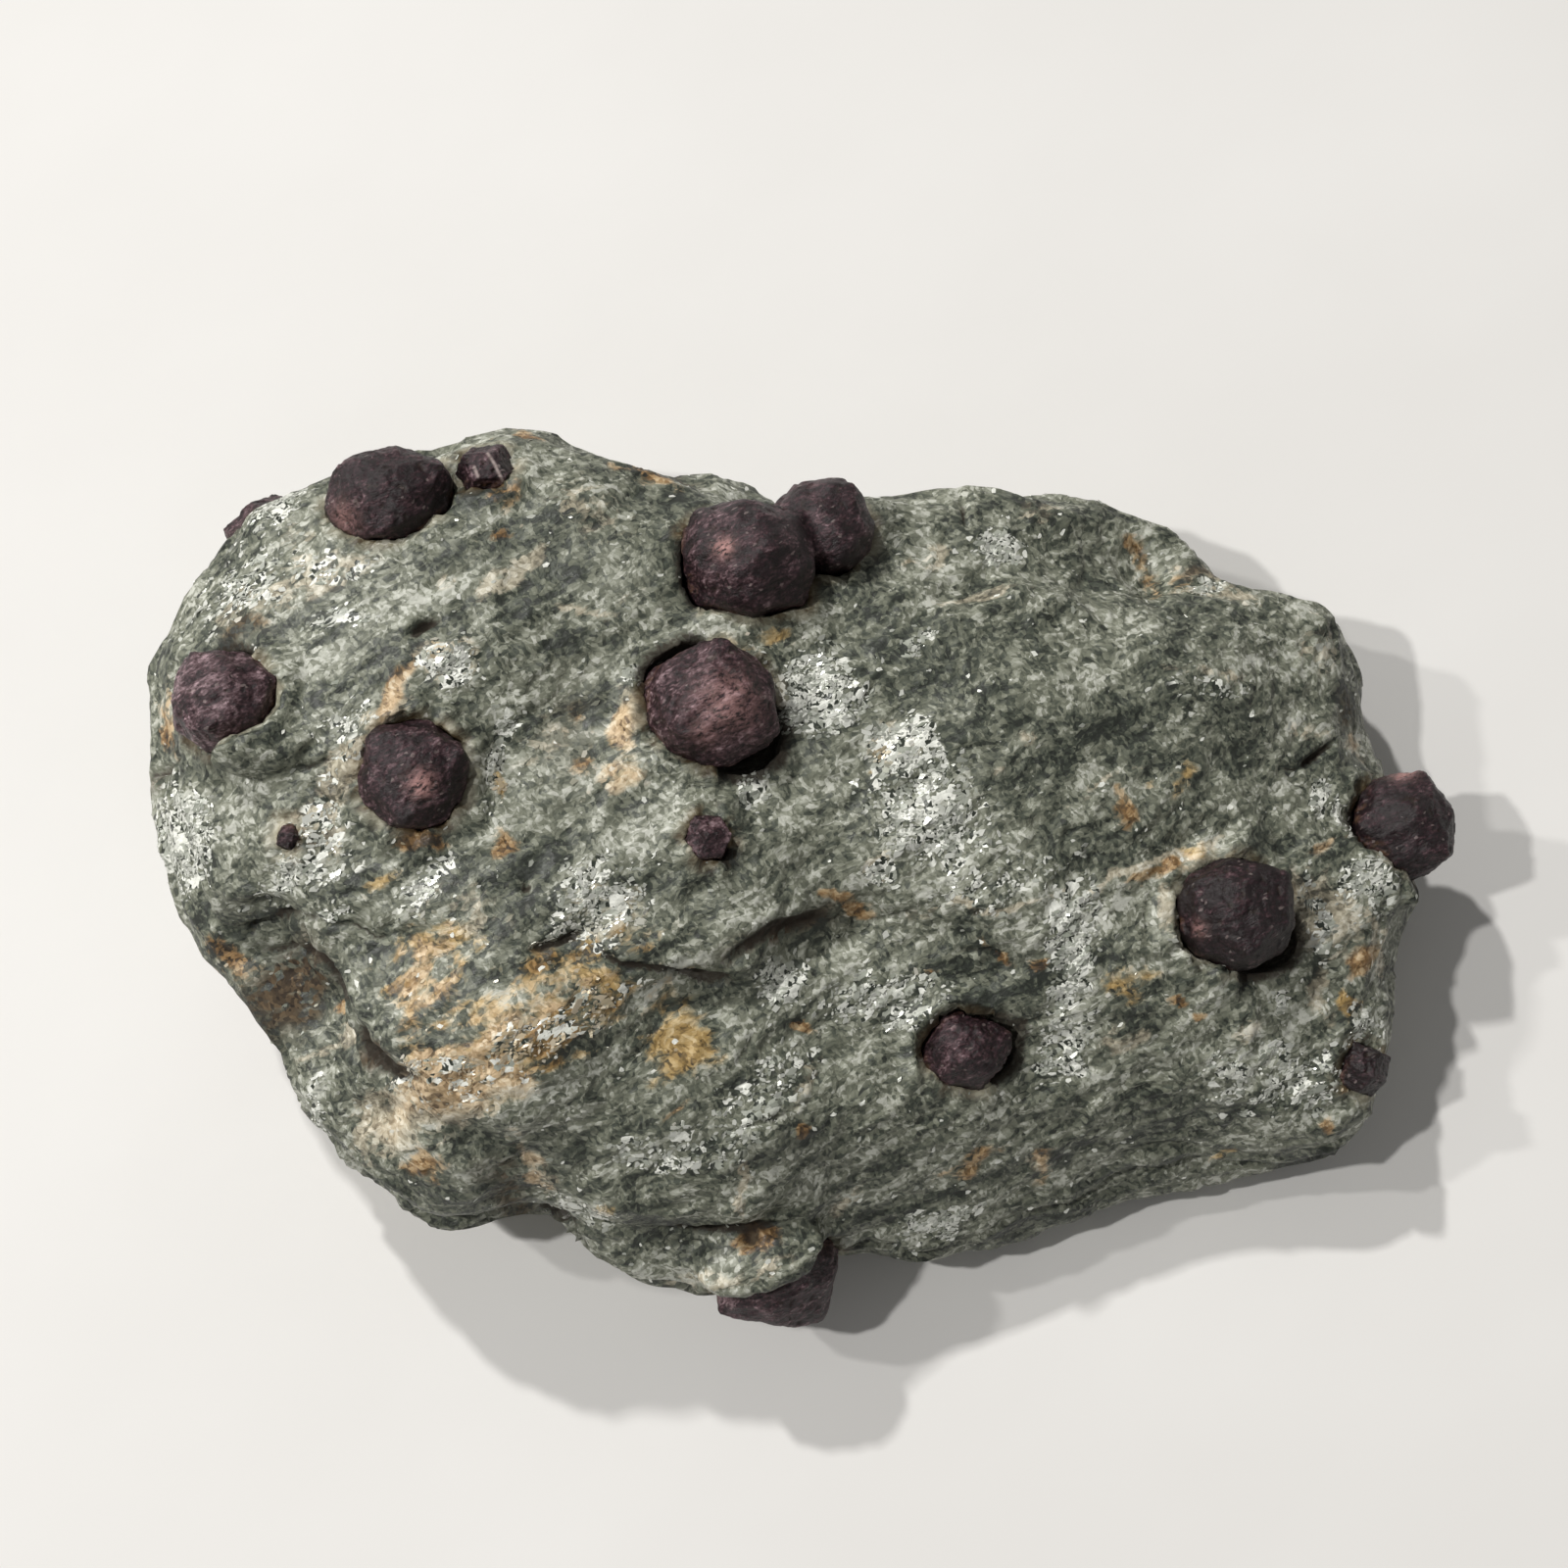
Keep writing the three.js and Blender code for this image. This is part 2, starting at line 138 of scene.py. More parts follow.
# Colour patches: place in plan, radii along and across, turn in degrees, strength.
RUST = [
    (-38, -23.8, 7.3, 1.7, 24, 0.3),  # cream band
    (-39.7, 16.6, 3.3, 1.1, 65, 1),  # left of the middle
    (-64.5, 15.6, 3.5, 0.9, 100, 0.9),  # left end crystal
    (-21.5, 11.1, 2.1, 5, 0, 0.35),  # by the peach patch
    (36.6, 0.2, 3.7, 0.6, 20, 1.1),  # right centre crystal
    (40.1, 32.2, 1.4, 1.9, 0, 0.6),  # knob
    (-4.4, -36.1, 2.1, 1.2, 0, 1.6),  # brink
    (33.1, 6.4, 1.2, 1.4, 0, 0.8),  # plateau
    (-55.5, 23.7, 2.5, 1.5, 0, 0.5),  # brown patch
    (57.9, 16.4, 1.4, 0.7, -10, 0.5),  # right edge
    (-12.3, -24.8, 2.1, 0.6, 30, 0.5),  # front
    # streaked zone
    (-26.6, -15.9, 14.5, 5, 27, 0.42), (-37.3, -12.3, 4.1, 5.3, 0, 0.4),
    # front left
    (-38.5, -29.2, 2.7, 1.2, -8, 1.1), (-26.7, -29.8, 3.3, 1, -50, 0.5),
    # back
    (-28.6, 44.7, 2.9, 0.6, -5, 1), (-16.1, 40.5, 4.4, 1, -20, 0.7), (34.5, 36.5, 1.7, 1, -40, 1),
    (36.8, 33.3, 2.1, 0.8, -70, 0.8), (11, 32.2, 1.5, 0.8, 0, 0.4),
    # round the striated crystal
    (-30, 37.7, 1.9, 2.1, 0, 0.8), (-29.7, 33.2, 1.9, 0.7, 20, 1.1),
    # round the left centre crystal
    (-37.5, 1.5, 2.1, 0.9, -5, 1.3), (-29, 1.9, 1.9, 1.2, 20, 1.2),
    # gully
    (5.3, -3.4, 3.1, 0.7, -20, 1.1), (-11, -11.8, 1.4, 0.4, -15, 0.6),
    # right of the gully
    (20.3, -7.9, 1.8, 0.5, -25, 1.3), (12.9, -9.9, 1.2, 0.6, 0, 0.7), (23.3, -9.3, 1, 0.6, -20, 1),
    # threads
    (38.2, -13.3, 0.9, 0.3, -15, 1.3), (41.6, -13.8, 1.1, 0.3, -5, 1.3),
    # front arc
    (17.5, -27.8, 3.9, 0.8, 33, 0.9), (24.8, -28, 0.9, 2.3, 0, 0.6),
    # right end
    (57.8, -7.8, 1, 1.7, -20, 1.2), (55.2, -23.6, 0.7, 1.4, 0, 0.8), (56.2, -20.7, 0.9, 0.4, -25, 1),
    (54, 3.8, 2.5, 0.5, 25, 0.7),
    # spots
    (0.2, -25.4, 0.8, 1, 0, 1.3), (0.6, -15.4, 1.3, 0.6, -10, 1.2),
    # pit
    (-57, -8.7, 3.3, 1.5, -35, 1.1), (-51.2, -10.5, 3.9, 1, -40, 0.7), (-46.4, -14, 0.9, 0.9, 0, 1.3),
]
OCHRE = [
    (-32.5, -14.5, 1.4, 1.5, 0, 0.8),  # spots
    (-36.1, 20.6, 0.8, 0.9, 0, 1.3),  # by the slit
    (-29.7, 7.3, 0.7, 1.6, 0, 1.2),  # vertical streak
    (-4.4, 22.9, 4.6, 1, 8, 0.6),  # round the pair
    (33.6, -10.8, 2.7, 1.9, 0, 0.7),  # right of the mica band
    (56.6, -12.2, 1.1, 0.9, 0, 1.1),  # right end
    (44.3, -26.3, 1.5, 0.5, 30, 1),  # front right
    (-19.6, -33.6, 1.4, 0.4, -10, 0.8),  # front left
    (8.2, 11.3, 1, 1.2, 0, 0.9),  # centre
    (-41.5, -2.7, 2.5, 0.8, 35, 0.6),  # left
    (41, 2.8, 1.4, 0.5, 0, 0.7),  # right centre crystal
    # streaked zone
    (-27, -16, 14, 5.6, 27, 0.62), (-37, -11, 5, 5, 0, 0.5), (-30.5, -21, 5.3, 1.7, 20, 0.9),
    # yellow patch
    (-11.6, -17.7, 3.3, 3.4, 20, 1.5), (-19.7, -11.7, 4.3, 1.7, -28, 1), (-35.9, -8.2, 4.6, 2.3, 0, 0.7),
    (-20.5, -8.2, 1.5, 1, 0, 0.8),
    # peach patch
    (-17.5, 13.4, 1.5, 2.5, 0, 0.8), (-17.9, 8.4, 2.1, 1.5, 0, 0.6),
    # plateau
    (38, 9.5, 2.9, 1.2, 15, 0.5), (39.8, 11.9, 1.4, 2.1, 0, 0.4),
]
PALE = [
    (41.9, 33.4, 1.4, 1, 20, 0.9),  # knob
    (-25.4, 11.7, 2.9, 4.3, 0, 0.3),  # vertical streak
    (24.7, -28.5, 1.2, 0.8, 0, 1),  # front arc
    # back left
    (-48.2, 29.9, 4.6, 1.2, -10, 0.8), (-51, 33.6, 1.9, 1.9, 0, 0.4), (-51.5, 27.5, 8, 1.4, 12, 0.7),
    # left
    (-44.4, 9.4, 7, 1.7, 49, 1.8), (-47.1, 3.8, 2.3, 3.1, -10, 1), (-45.7, 1.8, 1, 1.2, 0, 1.3),
    # by the slit
    (-35.2, 19.1, 2.3, 2.1, 0, 1.3), (-38.6, 17.5, 4.2, 0.9, 67, 1.2),
    # back
    (-28.5, 29, 5.2, 0.9, 42, 1.1), (-35.9, 27.9, 1.2, 0.7, 0, 0.7), (-21.4, 25.4, 2.9, 0.6, -10, 0.9),
    (-17.3, 26.6, 1.9, 0.5, 20, 0.5), (13.7, 33, 2.6, 1.3, 15, 1), (25.4, 39.2, 3.3, 1, 5, 0.8),
    (17.5, 28.3, 5.2, 0.4, 14, 1), (44.1, 31, 4.8, 0.8, -4, 0.8), (-21.3, 35.7, 4.8, 2.9, -30, 0.3),
    # threads
    (20.7, -3, 7.6, 0.35, 10, 1.1), (34, 0.5, 6.5, 0.4, 18, 1.3),
    # centre
    (10.4, 12.3, 2.9, 1.9, 0, 1), (8.5, -0.1, 1.1, 1.2, 0, 1.4),
    # right centre crystal
    (36.8, -4.3, 0.8, 2.9, 5, 1), (42.5, 3, 1.9, 0.5, 25, 0.8),
    # front right
    (33.3, -15.8, 2.1, 0.7, 12, 0.9), (46, -15.8, 1.6, 0.7, 15, 1),
    # front lip
    (4.4, -32.2, 1.9, 0.9, 35, 0.9), (-7.8, -40.3, 5.6, 0.9, 4, 0.7), (-3.1, -38.5, 2.1, 1.4, 0, 0.8),
    # front
    (-6.1, -31.3, 3.3, 0.4, 95, 1.3), (0.6, -21.4, 3.3, 0.5, 58, 0.9),
    # peach patch
    (-17.2, 13.6, 1.4, 2.5, 0, 1.4), (-17.9, 8.4, 2.3, 1.5, 0, 0.9),
    # cream band
    (-30, -22.5, 4.8, 0.8, 20, 1.3), (-36.4, -23, 8, 3.2, 24, 1.7),
    # streaked zone
    (-30, -17.4, 9, 1.1, 27, 0.6), (-23.5, -13.2, 7, 1, 27, 0.55), (-36.5, -10, 3, 4, 0, 0.4),
    # right end
    (53.5, -3, 5, 4, 0, 1.3), (59.9, -7.2, 1.1, 2.3, 10, 1.1), (53.8, -10.7, 0.9, 2.5, -10, 0.9),
    (60.1, -3.7, 0.5, 0.8, 0, 1), (53.8, 3.6, 2.3, 0.5, 30, 0.9),
    # pit
    (-46, -16.6, 1.2, 1.4, 0, 1.1), (-49.3, -18.8, 2.5, 0.4, 12, 0.9),
    # plateau
    (42.1, 21.5, 4.5, 0.6, 0, 0.7), (31.1, 9, 4.6, 0.3, 30, 0.5),
    # right edge
    (54.3, 26, 2.9, 3.9, 0, 0.35), (52.9, 16.8, 2.1, 1, 20, 0.6), (58.1, 16.2, 1.4, 0.8, 0, 0.9),
    (59.5, 13.9, 2.3, 0.6, -50, 0.8),
    # front left
    (-26.6, -29.4, 2.9, 0.8, -50, 1), (-36.7, -25.8, 2.9, 0.6, 20, 0.6),
    # specks
    (22.7, 12.9, 0.9, 0.5, 0, 1.2), (19.7, 9.4, 0.7, 0.4, 0, 0.9),
    # left of the middle
    (-19, -4.7, 4.3, 3.3, 0, 0.35), (-32.4, -5.3, 4.8, 2.9, 0, 0.3),
]
# Mica patches: pale shards and flakes; the shards' whiteness is partly the mica's own colour and partly
# painted sheen.
MICA = [
    (-1.6, -11, 2.5, 1.6, 50, 1.2),  # gully
    (20.9, 33.6, 1.9, 1.8, 40, 1.3),  # back
    (-35.2, 18.9, 2.3, 2.3, 0, 1.2),  # by the slit
    (-29.9, 10, 4.8, 0.9, 86, 1.1),  # vertical streak
    (42.8, 31.5, 1.5, 0.8, 0, 1),  # knob
    (8.8, -12.6, 5.8, 2.5, 10, 0.5),  # below the gully
    (-21.6, -33.7, 3.3, 1, -20, 0.7),  # front left
    (-49.2, -23.2, 1.2, 2.5, -30, 0.8),  # pit
    (42.6, 19.9, 3.9, 1.4, 0, 0.3),  # plateau
    (20, -1.3, 5.8, 1.9, 20, 0.3),  # middle
    # centre
    (2.1, 17.5, 4.1, 3.3, -40, 1.4), (10.7, 12.1, 3.3, 2.5, 0, 1.2), (12.9, 5.3, 5.6, 4.3, -35, 1),
    (-4.4, 7.3, 1.3, 1.6, -20, 1.3), (-16.7, 18.7, 0.8, 1.3, -25, 1.3), (8.5, -0.3, 1.2, 1.4, 0, 1),
    (11.8, 22.5, 2.5, 1, 30, 0.5),
    # band
    (27.1, -7.2, 6.6, 2.1, 82, 1.2), (26.8, -16.9, 2.9, 2.1, 60, 0.9),
    # back left
    (-52.9, 37.2, 2.5, 1.8, 30, 0.9), (-56.5, 28.1, 5.6, 3.1, 35, 0.45), (-47.7, 29.7, 4.5, 1.4, -10, 0.4),
    (-46.2, 23.5, 3.5, 1.2, 10, 0.6),
    # left
    (-45.3, 13.4, 3.1, 0.8, 34, 1), (-44.6, 10.7, 5.8, 1.3, 52, 0.25), (-62.7, 3.7, 2.9, 4.8, 10, 1.1),
    (-48.9, -1.3, 4.5, 1.2, 12, 1), (-45.7, -5.1, 1.5, 0.7, 15, 1), (-47.1, 3.1, 2.3, 2.9, 0, 0.7),
    # left of the middle
    (-19.7, -4.4, 3.7, 3.3, 30, 0.9), (-23.6, -7.9, 2.9, 0.5, 25, 1.2), (-36.5, -2.6, 3.3, 1.4, 45, 1),
    # streaked zone
    (-26.1, -17.8, 10.6, 1.9, 27, 0.6), (-35.8, -20.5, 4.4, 0.9, 10, 0.8),
    # right end
    (54.1, 9.6, 1.2, 1.7, 0, 1.2), (56.6, 7.3, 0.7, 2.5, 0, 0.7), (53.4, -3.7, 1.4, 3.9, 15, 0.7),
    (59.2, 0.5, 2.5, 2.5, 0, 0.6), (58, -16.6, 1.9, 3.9, 0, 0.5),
    # front right
    (49.3, -11.7, 0.8, 1.2, 0, 1.3), (48.9, -17.3, 1.4, 0.8, 40, 1.1), (47.8, -20.6, 1.2, 0.6, 45, 1.1),
    (51.9, -19.6, 4.3, 2.9, 20, 0.5), (46, -23.2, 0.9, 0.5, 0, 1.2), (44.1, -19.8, 1.9, 2.9, 0, 0.4),
    # front
    (-3.6, -22.8, 5.8, 2.3, 45, 0.5), (-12.4, -28.5, 5.8, 2.1, 0, 0.4), (14.6, -33.9, 4.4, 1.5, 12, 0.7),
]
DARK = [
    # The pit's darkness is painted shade.
    (-50.5, -12, 4.5, 6, -35, 1.7),  # pit
    (-27.4, -3.6, 3.7, 2.3, 0, 0.9),  # left of the middle
    (-16.5, -8.9, 5.4, 2.3, -5, 0.5),  # gully
    (-44.4, 22.2, 2.3, 2.1, 0, 0.7),  # by the slit
    (4.3, -16.6, 8.3, 5.2, 0, 0.5),  # below the gully
    (-33.5, -31.6, 5.4, 1.4, -15, 0.9),  # front left
    (-54.7, 12.2, 3.3, 1.2, 10, 1.2),  # left end crystal
    (-10.6, -37.1, 3.7, 1.7, 0, 1.1),  # brink
    # Painted shadow in the hollow at this crystal's lower right.
    (47.6, -8.5, 2.7, 1.9, -30, 1.2),  # right centre crystal
    (57, 19.1, 1.4, 2.3, 0, 1),  # right edge
    # plateau
    (31.2, 16.9, 20.8, 7.9, -7, 0.9), (42.9, 25.4, 4.8, 1.5, 0, 0.5),
    # round the pair
    (-12.2, 28.9, 2.3, 4.5, 0, 0.9), (3.4, 26.6, 5.4, 2.1, -10, 0.5), (9, 33.7, 2.9, 3.5, 0, 0.5),
    # back
    (-22, 32.5, 10, 5, 0, 1.3), (-12.5, 37.6, 3.9, 1.4, -10, 0.7), (26.9, 34.9, 5, 1.9, 0, 0.5),
    (20.6, 31.1, 5.8, 1.4, 0, 0.4),
    # left
    (-47.1, -2.7, 4.3, 0.9, 12, 0.9), (-35.2, 12.4, 2.9, 2.5, 0, 0.3), (-60.6, -3.7, 2.5, 3.5, -20, 0.6),
    # front
    (-12.3, -25.7, 13.6, 5, 5, 0.6), (18.3, -22.5, 8.7, 2.9, 5, 0.4), (14.6, -33.4, 6.2, 2.1, 10, 0.8),
    # front right
    (36.9, -24.9, 10.6, 2.5, 8, 0.5), (53.4, -25.8, 3.9, 1.7, 0, 0.8),
    # streaked zone
    (-20.9, -18.1, 5.6, 0.9, 20, 1), (-16.7, -22.2, 3.7, 1.3, 15, 0.9), (-19.9, -14.3, 1.5, 0.8, 0, 0.9),
    # centre
    (-15.2, 5.6, 3.9, 1.4, 20, 0.4), (0.4, 10.1, 2.9, 2.3, 0, 0.5),
    # middle
    (-7.4, 0.8, 8.7, 3.9, 0, 0.25), (2.3, 2.2, 5.8, 3.5, 0, 0.4),
    # back left
    (-59.1, 34.1, 2.5, 1.9, 30, 0.4), (-53, 27.5, 9, 6, 10, 0.8), (-56, 22.3, 6, 1.6, 5, 1.3),
]
# Dark brown patches: brown stain, and in the pit and along the gully painted shade.
BROWN = [
    (-51.2, -11.7, 3.6, 5, -35, 1.4),  # pit
    (-55.5, 23.7, 2.5, 1.4, 0, 0.9),  # back left
    (-2.1, -6.4, 6.6, 1, 26, 1.1),  # gully
    (41.1, 33.8, 1.2, 1, 0, 0.8),  # knob
    (-29.7, -31.3, 2.7, 1.7, -50, 0.9),  # front left
    (57.8, 18.9, 1.4, 2.3, 0, 0.8),  # right edge
    (-66.1, 10, 2.1, 0.8, 30, 0.9),  # left
    (-12.6, 41.2, 3.3, 0.4, -22, 0.9),  # back
    (-42.7, -18.3, 1.9, 1, -40, 1),  # crevice
    (-23.1, 13.7, 2.9, 5.8, 0, 0.3),  # by the peach patch
]
PATCHES = {"rust": RUST, "ochre": OCHRE, "pale": PALE, "mica": MICA, "dark": DARK, "brown": BROWN}

# Small holes: place in plan, radius and depth.
HOLES = [(-27, -3.1, 0.8, 0.9), (-4.9, -36, 1.4, 0.9)]

# Ledges of rock that hang over a crystal: middle, radii, and turn in degrees.
LEDGES = [
    ((-3.8, -38, 16.6), (7.5, 3.9, 2.2), 20),
    ((-53.4, 10.6, 37.7), (5.6, 2.4, 2.5), 14),
    ((59.5, 1.6, 15.3), (5.5, 2.2, 2.6), -30),
]

# Gaps round the crystals: node, direction of the gap in degrees, half its sweep and its width.
SOCKETS = [
    ("garnet_centre", 128, 40, 0.8),
    ("garnet_centre", -42, 46, 2),
    ("garnet_left_end", 95, 60, 0.4),
    ("garnet_right_centre", -40, 52, 1.5),
    ("garnet_right_end", 188, 40, 0.4),
    ("garnet_front_centre", 0, 56, 1.4),
    ("garnet_pair", 200, 34, 0.4),
    ("garnet_centre_small", -40, 50, 0.3),
]

# From how far out the rock climbs up to a crystal, and how high.
COLLAR_REACH = 3.4
COLLAR_HEIGHT = 0.9
COLLARS = {
    "garnet_left_centre": 1.8,
    "garnet_left_end": 2,
    "garnet_centre": 1.3,
    "garnet_centre_small": 1.6,
    "garnet_front_centre": 1.4,
    "garnet_right_centre": 1.5,
    "garnet_striated": 1.2,
}

# How worn and pale each crystal is, from 0 to 1.
USUALLY_WORN = 0.5
WORN = {
    "garnet_back_left": 0.35,
    "garnet_left_end": 1,
    "garnet_left_centre": 0.55,
    "garnet_speck": 0.3,
    "garnet_centre": 0.75,
    "garnet_centre_small": 0.8,
    "garnet_right_end": 0.15,
    "garnet_right_centre": 0,
    "garnet_front_edge": 0.7,
    "garnet_front_right_small": 0,
}

# Pale lines across the striated crystal: where they fade out to their sides, and their routes in plan.
STRIATION_EDGE = (0.04, 0.24)
STRIATIONS = [
    [(-31.4, 41.3), (-30.7, 40.2), (-29.9, 38.5)],
    [(-32.7, 39.8), (-32.3, 38.8)],
]

# Pink spots on the crystals: place, radius and strength.
PINK_SPOTS = [
    (-7.7, 31, 39.5, 1, 1),
    (-36.9, 6.4, 42.9, 1.2, 1),
    (-6.9, 14.8, 41.1, 3, 0.5),
    (-9.3, 11.9, 40.5, 1.6, 0.4),
    (63.1, 12.3, 15.7, 1.4, 0.8),
    (-45.7, 34.5, 37.2, 1.6, 0.5),
    (40.2, -5.6, 26.8, 0.9, 0.45),
]

# ---- numbers ----


def smooth(value, low, high):
    """0 below the low value, 1 above the high one, and a soft slope between them."""
    share = np.clip((value - low) / (high - low), 0, 1)
    return share * share * (3 - 2 * share)


def terraces(value, slope):
    """How far level steps with slopes between them stand above the rising value that they follow."""
    step = np.floor(value)
    return step + smooth(value - step, 0, slope) - value


def unit(vectors):
    return vectors / np.linalg.norm(vectors, axis=1, keepdims=True)


class GradientNoise:
    """Smooth noise of about -1 to 1, the same on each run."""

    def __init__(self, seed):
        random = np.random.default_rng(seed)
        self.order = random.permutation(256)
        self.directions = unit(random.normal(size=(256, 3)))

    def __call__(self, points):
        cell = np.floor(points).astype(np.int64)
        local = points - cell
        fade = local**3 * (local * (local * 6 - 15) + 10)
        total = np.zeros(len(points))
        for corner in itertools.product((0, 1), repeat=3):
            x, y, z = (cell + corner).T & 255
            picked = self.order[(self.order[(self.order[x] + y) & 255] + z) & 255]
            lean = ((local - corner) * self.directions[picked]).sum(1)
            weight = np.where(corner, fade, 1 - fade).prod(1)
            total += weight * lean
        return total * 1.7


lumps = GradientNoise(3)
streaks = GradientNoise(5)
chips = GradientNoise(8)


def along_lineation(points, length, width):
    """Points turned to the mica streaks and shrunk, so that noise there is stretched along them."""
    c, s = math.cos(LINEATION), math.sin(LINEATION)
    x, y, z = points.T
    return np.stack([(x * c + y * s) / length, (y * c - x * s) / width, z / width], 1)


def swirl(noise, points, size, shifts):
    """A smooth push at each point, one copy of the noise for each axis."""
    return np.stack([noise(points / size + shift) for shift in shifts], 1)


def frayed(points):
    """Points pushed about a little, so that what is drawn by them gets ragged edges."""
    coarse = swirl(lumps, points, 4.5, (3, 17, 41))
    fine = swirl(chips, points, 1.6, (5, 23, 47))
    return points + 1.3 * coarse + 0.5 * fine


def distance_to_route(x, y, route):
    """Distance to a route in plan, and how far along it from 0 to 1."""
    nearest = np.full(len(x), 1e9)
    walked = np.zeros(len(x))
    for step, ((ax, ay), (bx, by)) in enumerate(zip(route, route[1:])):
        dx, dy = bx - ax, by - ay
        share = np.clip(((x - ax) * dx + (y - ay) * dy) / (dx * dx + dy * dy), 0, 1)
        distance = np.hypot(x - ax - share * dx, y - ay - share * dy)
        closer = distance < nearest
        nearest = np.where(closer, distance, nearest)
        walked = np.where(closer, (step + share) / (len(route) - 1), walked)
    return nearest, walked


def patch_mask(points, kind):
    """How strongly a kind of colour patch covers each point, fading out past its radii."""
    x, y, _ = (points - SHIFT).T
    mask = np.zeros(len(points))
    for px, py, length, width, turn, strength in PATCHES[kind]:
        c, s = math.cos(math.radians(turn)), math.sin(math.radians(turn))
        u = ((x - px) * c + (y - py) * s) / length
        v = ((y - py) * c - (x - px) * s) / width
        mask = np.maximum(mask, strength * np.exp(-((u * u + v * v) ** 1.5)))
    return mask


# ---- meshes ----


def link(name, data):
    thing = bpy.data.objects.new(name, data)
    bpy.context.scene.collection.objects.link(thing)
    return thing


def read_values(items, name, width=3):
    """One property of a mesh's vertices, normals or faces, a row for each."""
    flat = np.empty(len(items) * width, np.float32)
    items.foreach_get(name, flat)
    return flat.reshape(-1, width).astype(float)


def read_points(mesh):
    return read_values(mesh.vertices, "co") / MM


def read_normals(mesh):
    return read_values(mesh.vertex_normals, "vector")


def write_points(mesh, points):
    mesh.vertices.foreach_set("co", (points * MM).astype(np.float32).ravel())
    mesh.update()


def write_masks(mesh, masks):
    for name, values in masks.items():
        attribute = mesh.attributes.new(name, "FLOAT", "POINT")
        attribute.data.foreach_set("value", values.astype(np.float32))


def smoothed(mesh, points, rounds):
    """Each vertex moves halfway to the middle of its neighbours, some rounds long."""
    edges = np.empty(len(mesh.edges) * 2, np.int32)
    mesh.edges.foreach_get("vertices", edges)
    a, b = edges.reshape(-1, 2).T
    neighbours = np.bincount(np.concatenate([a, b]), minlength=len(points))[:, None]
    for _ in range(rounds):
        total = np.zeros_like(points)
        np.add.at(total, a, points[b])
        np.add.at(total, b, points[a])
        points = (points + total / neighbours) / 2
    return points


def remeshed_copy(name, node, voxel, prepare=None):
    """A copy of a CAD solid with even, fine faces."""
    piece = link(name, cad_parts[node].data.copy())
    if prepare:
        prepare(piece.data)
    even = piece.modifiers.new("even", "REMESH")
    even.mode = "VOXEL"
    even.voxel_size = voxel * MM
    shape = piece.evaluated_get(bpy.context.evaluated_depsgraph_get())
    mesh = bpy.data.meshes.new_from_object(shape)
    piece.modifiers.clear()
    piece.data = mesh
    mesh.name = name
    mesh.materials.clear()
    return piece


def tree_of(node):
    """A search tree over the faces of a CAD node."""
    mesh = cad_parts[node].data
    points = [vertex.co.copy() for vertex in mesh.vertices]
    return BVHTree.FromPolygons(points, [list(face.vertices) for face in mesh.polygons])


def box_of(node):
    """Low and high corner of a CAD node's box."""
    return [np.array(corner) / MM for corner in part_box(node)]


def shade_smooth(mesh):
    mesh.polygons.foreach_set("use_smooth", np.ones(len(mesh.polygons), bool))


# ---- the slab ----


def add_ledges(mesh):
    """Adds the hanging ledges as overlapping lumps, which the remesh joins to the slab."""
    work = bmesh.new()
    work.from_mesh(mesh)
    for middle, radii, turn in LEDGES:
        place = Matrix.Translation(Vector((np.array(middle) + SHIFT) * MM))
        turned = Matrix.Rotation(math.radians(turn), 4, "Z")
        drawn_out = Matrix.Diagonal((*(np.array(radii) * MM), 1))
        bmesh.ops.create_icosphere(work, subdivisions=3, radius=1, matrix=place @ turned @ drawn_out)
    work.to_mesh(mesh)
    work.free()


def divide_top(mesh):
    """Divides the faces of the top once more, where the detail is finest."""
    work = bmesh.new()
    work.from_mesh(mesh)
    work.normal_update()
    top = [
        face
        for face in work.faces
        if face.normal.z > FINE_TOP_NORMAL and face.calc_center_median().z > FINE_TOP_LEVEL * MM
    ]
    edges = list({edge for face in top for edge in face.edges})
    bmesh.ops.subdivide_edges(work, edges=edges, cuts=1, use_grid_fill=True)
    bmesh.ops.triangulate(work, faces=[face for face in work.faces if len(face.verts) > 4])
    work.to_mesh(mesh)
    work.free()


def socket_gap(node, angle, least):
    """Width of the gap on the side of a crystal at an angle from +X."""
    gap = least
    for socket, direction, sweep, width in SOCKETS:
        if socket == node:
            off = abs((angle - direction + 180) % 360 - 180) / sweep
            gap = max(gap, width * (1 - off * off))
    return gap


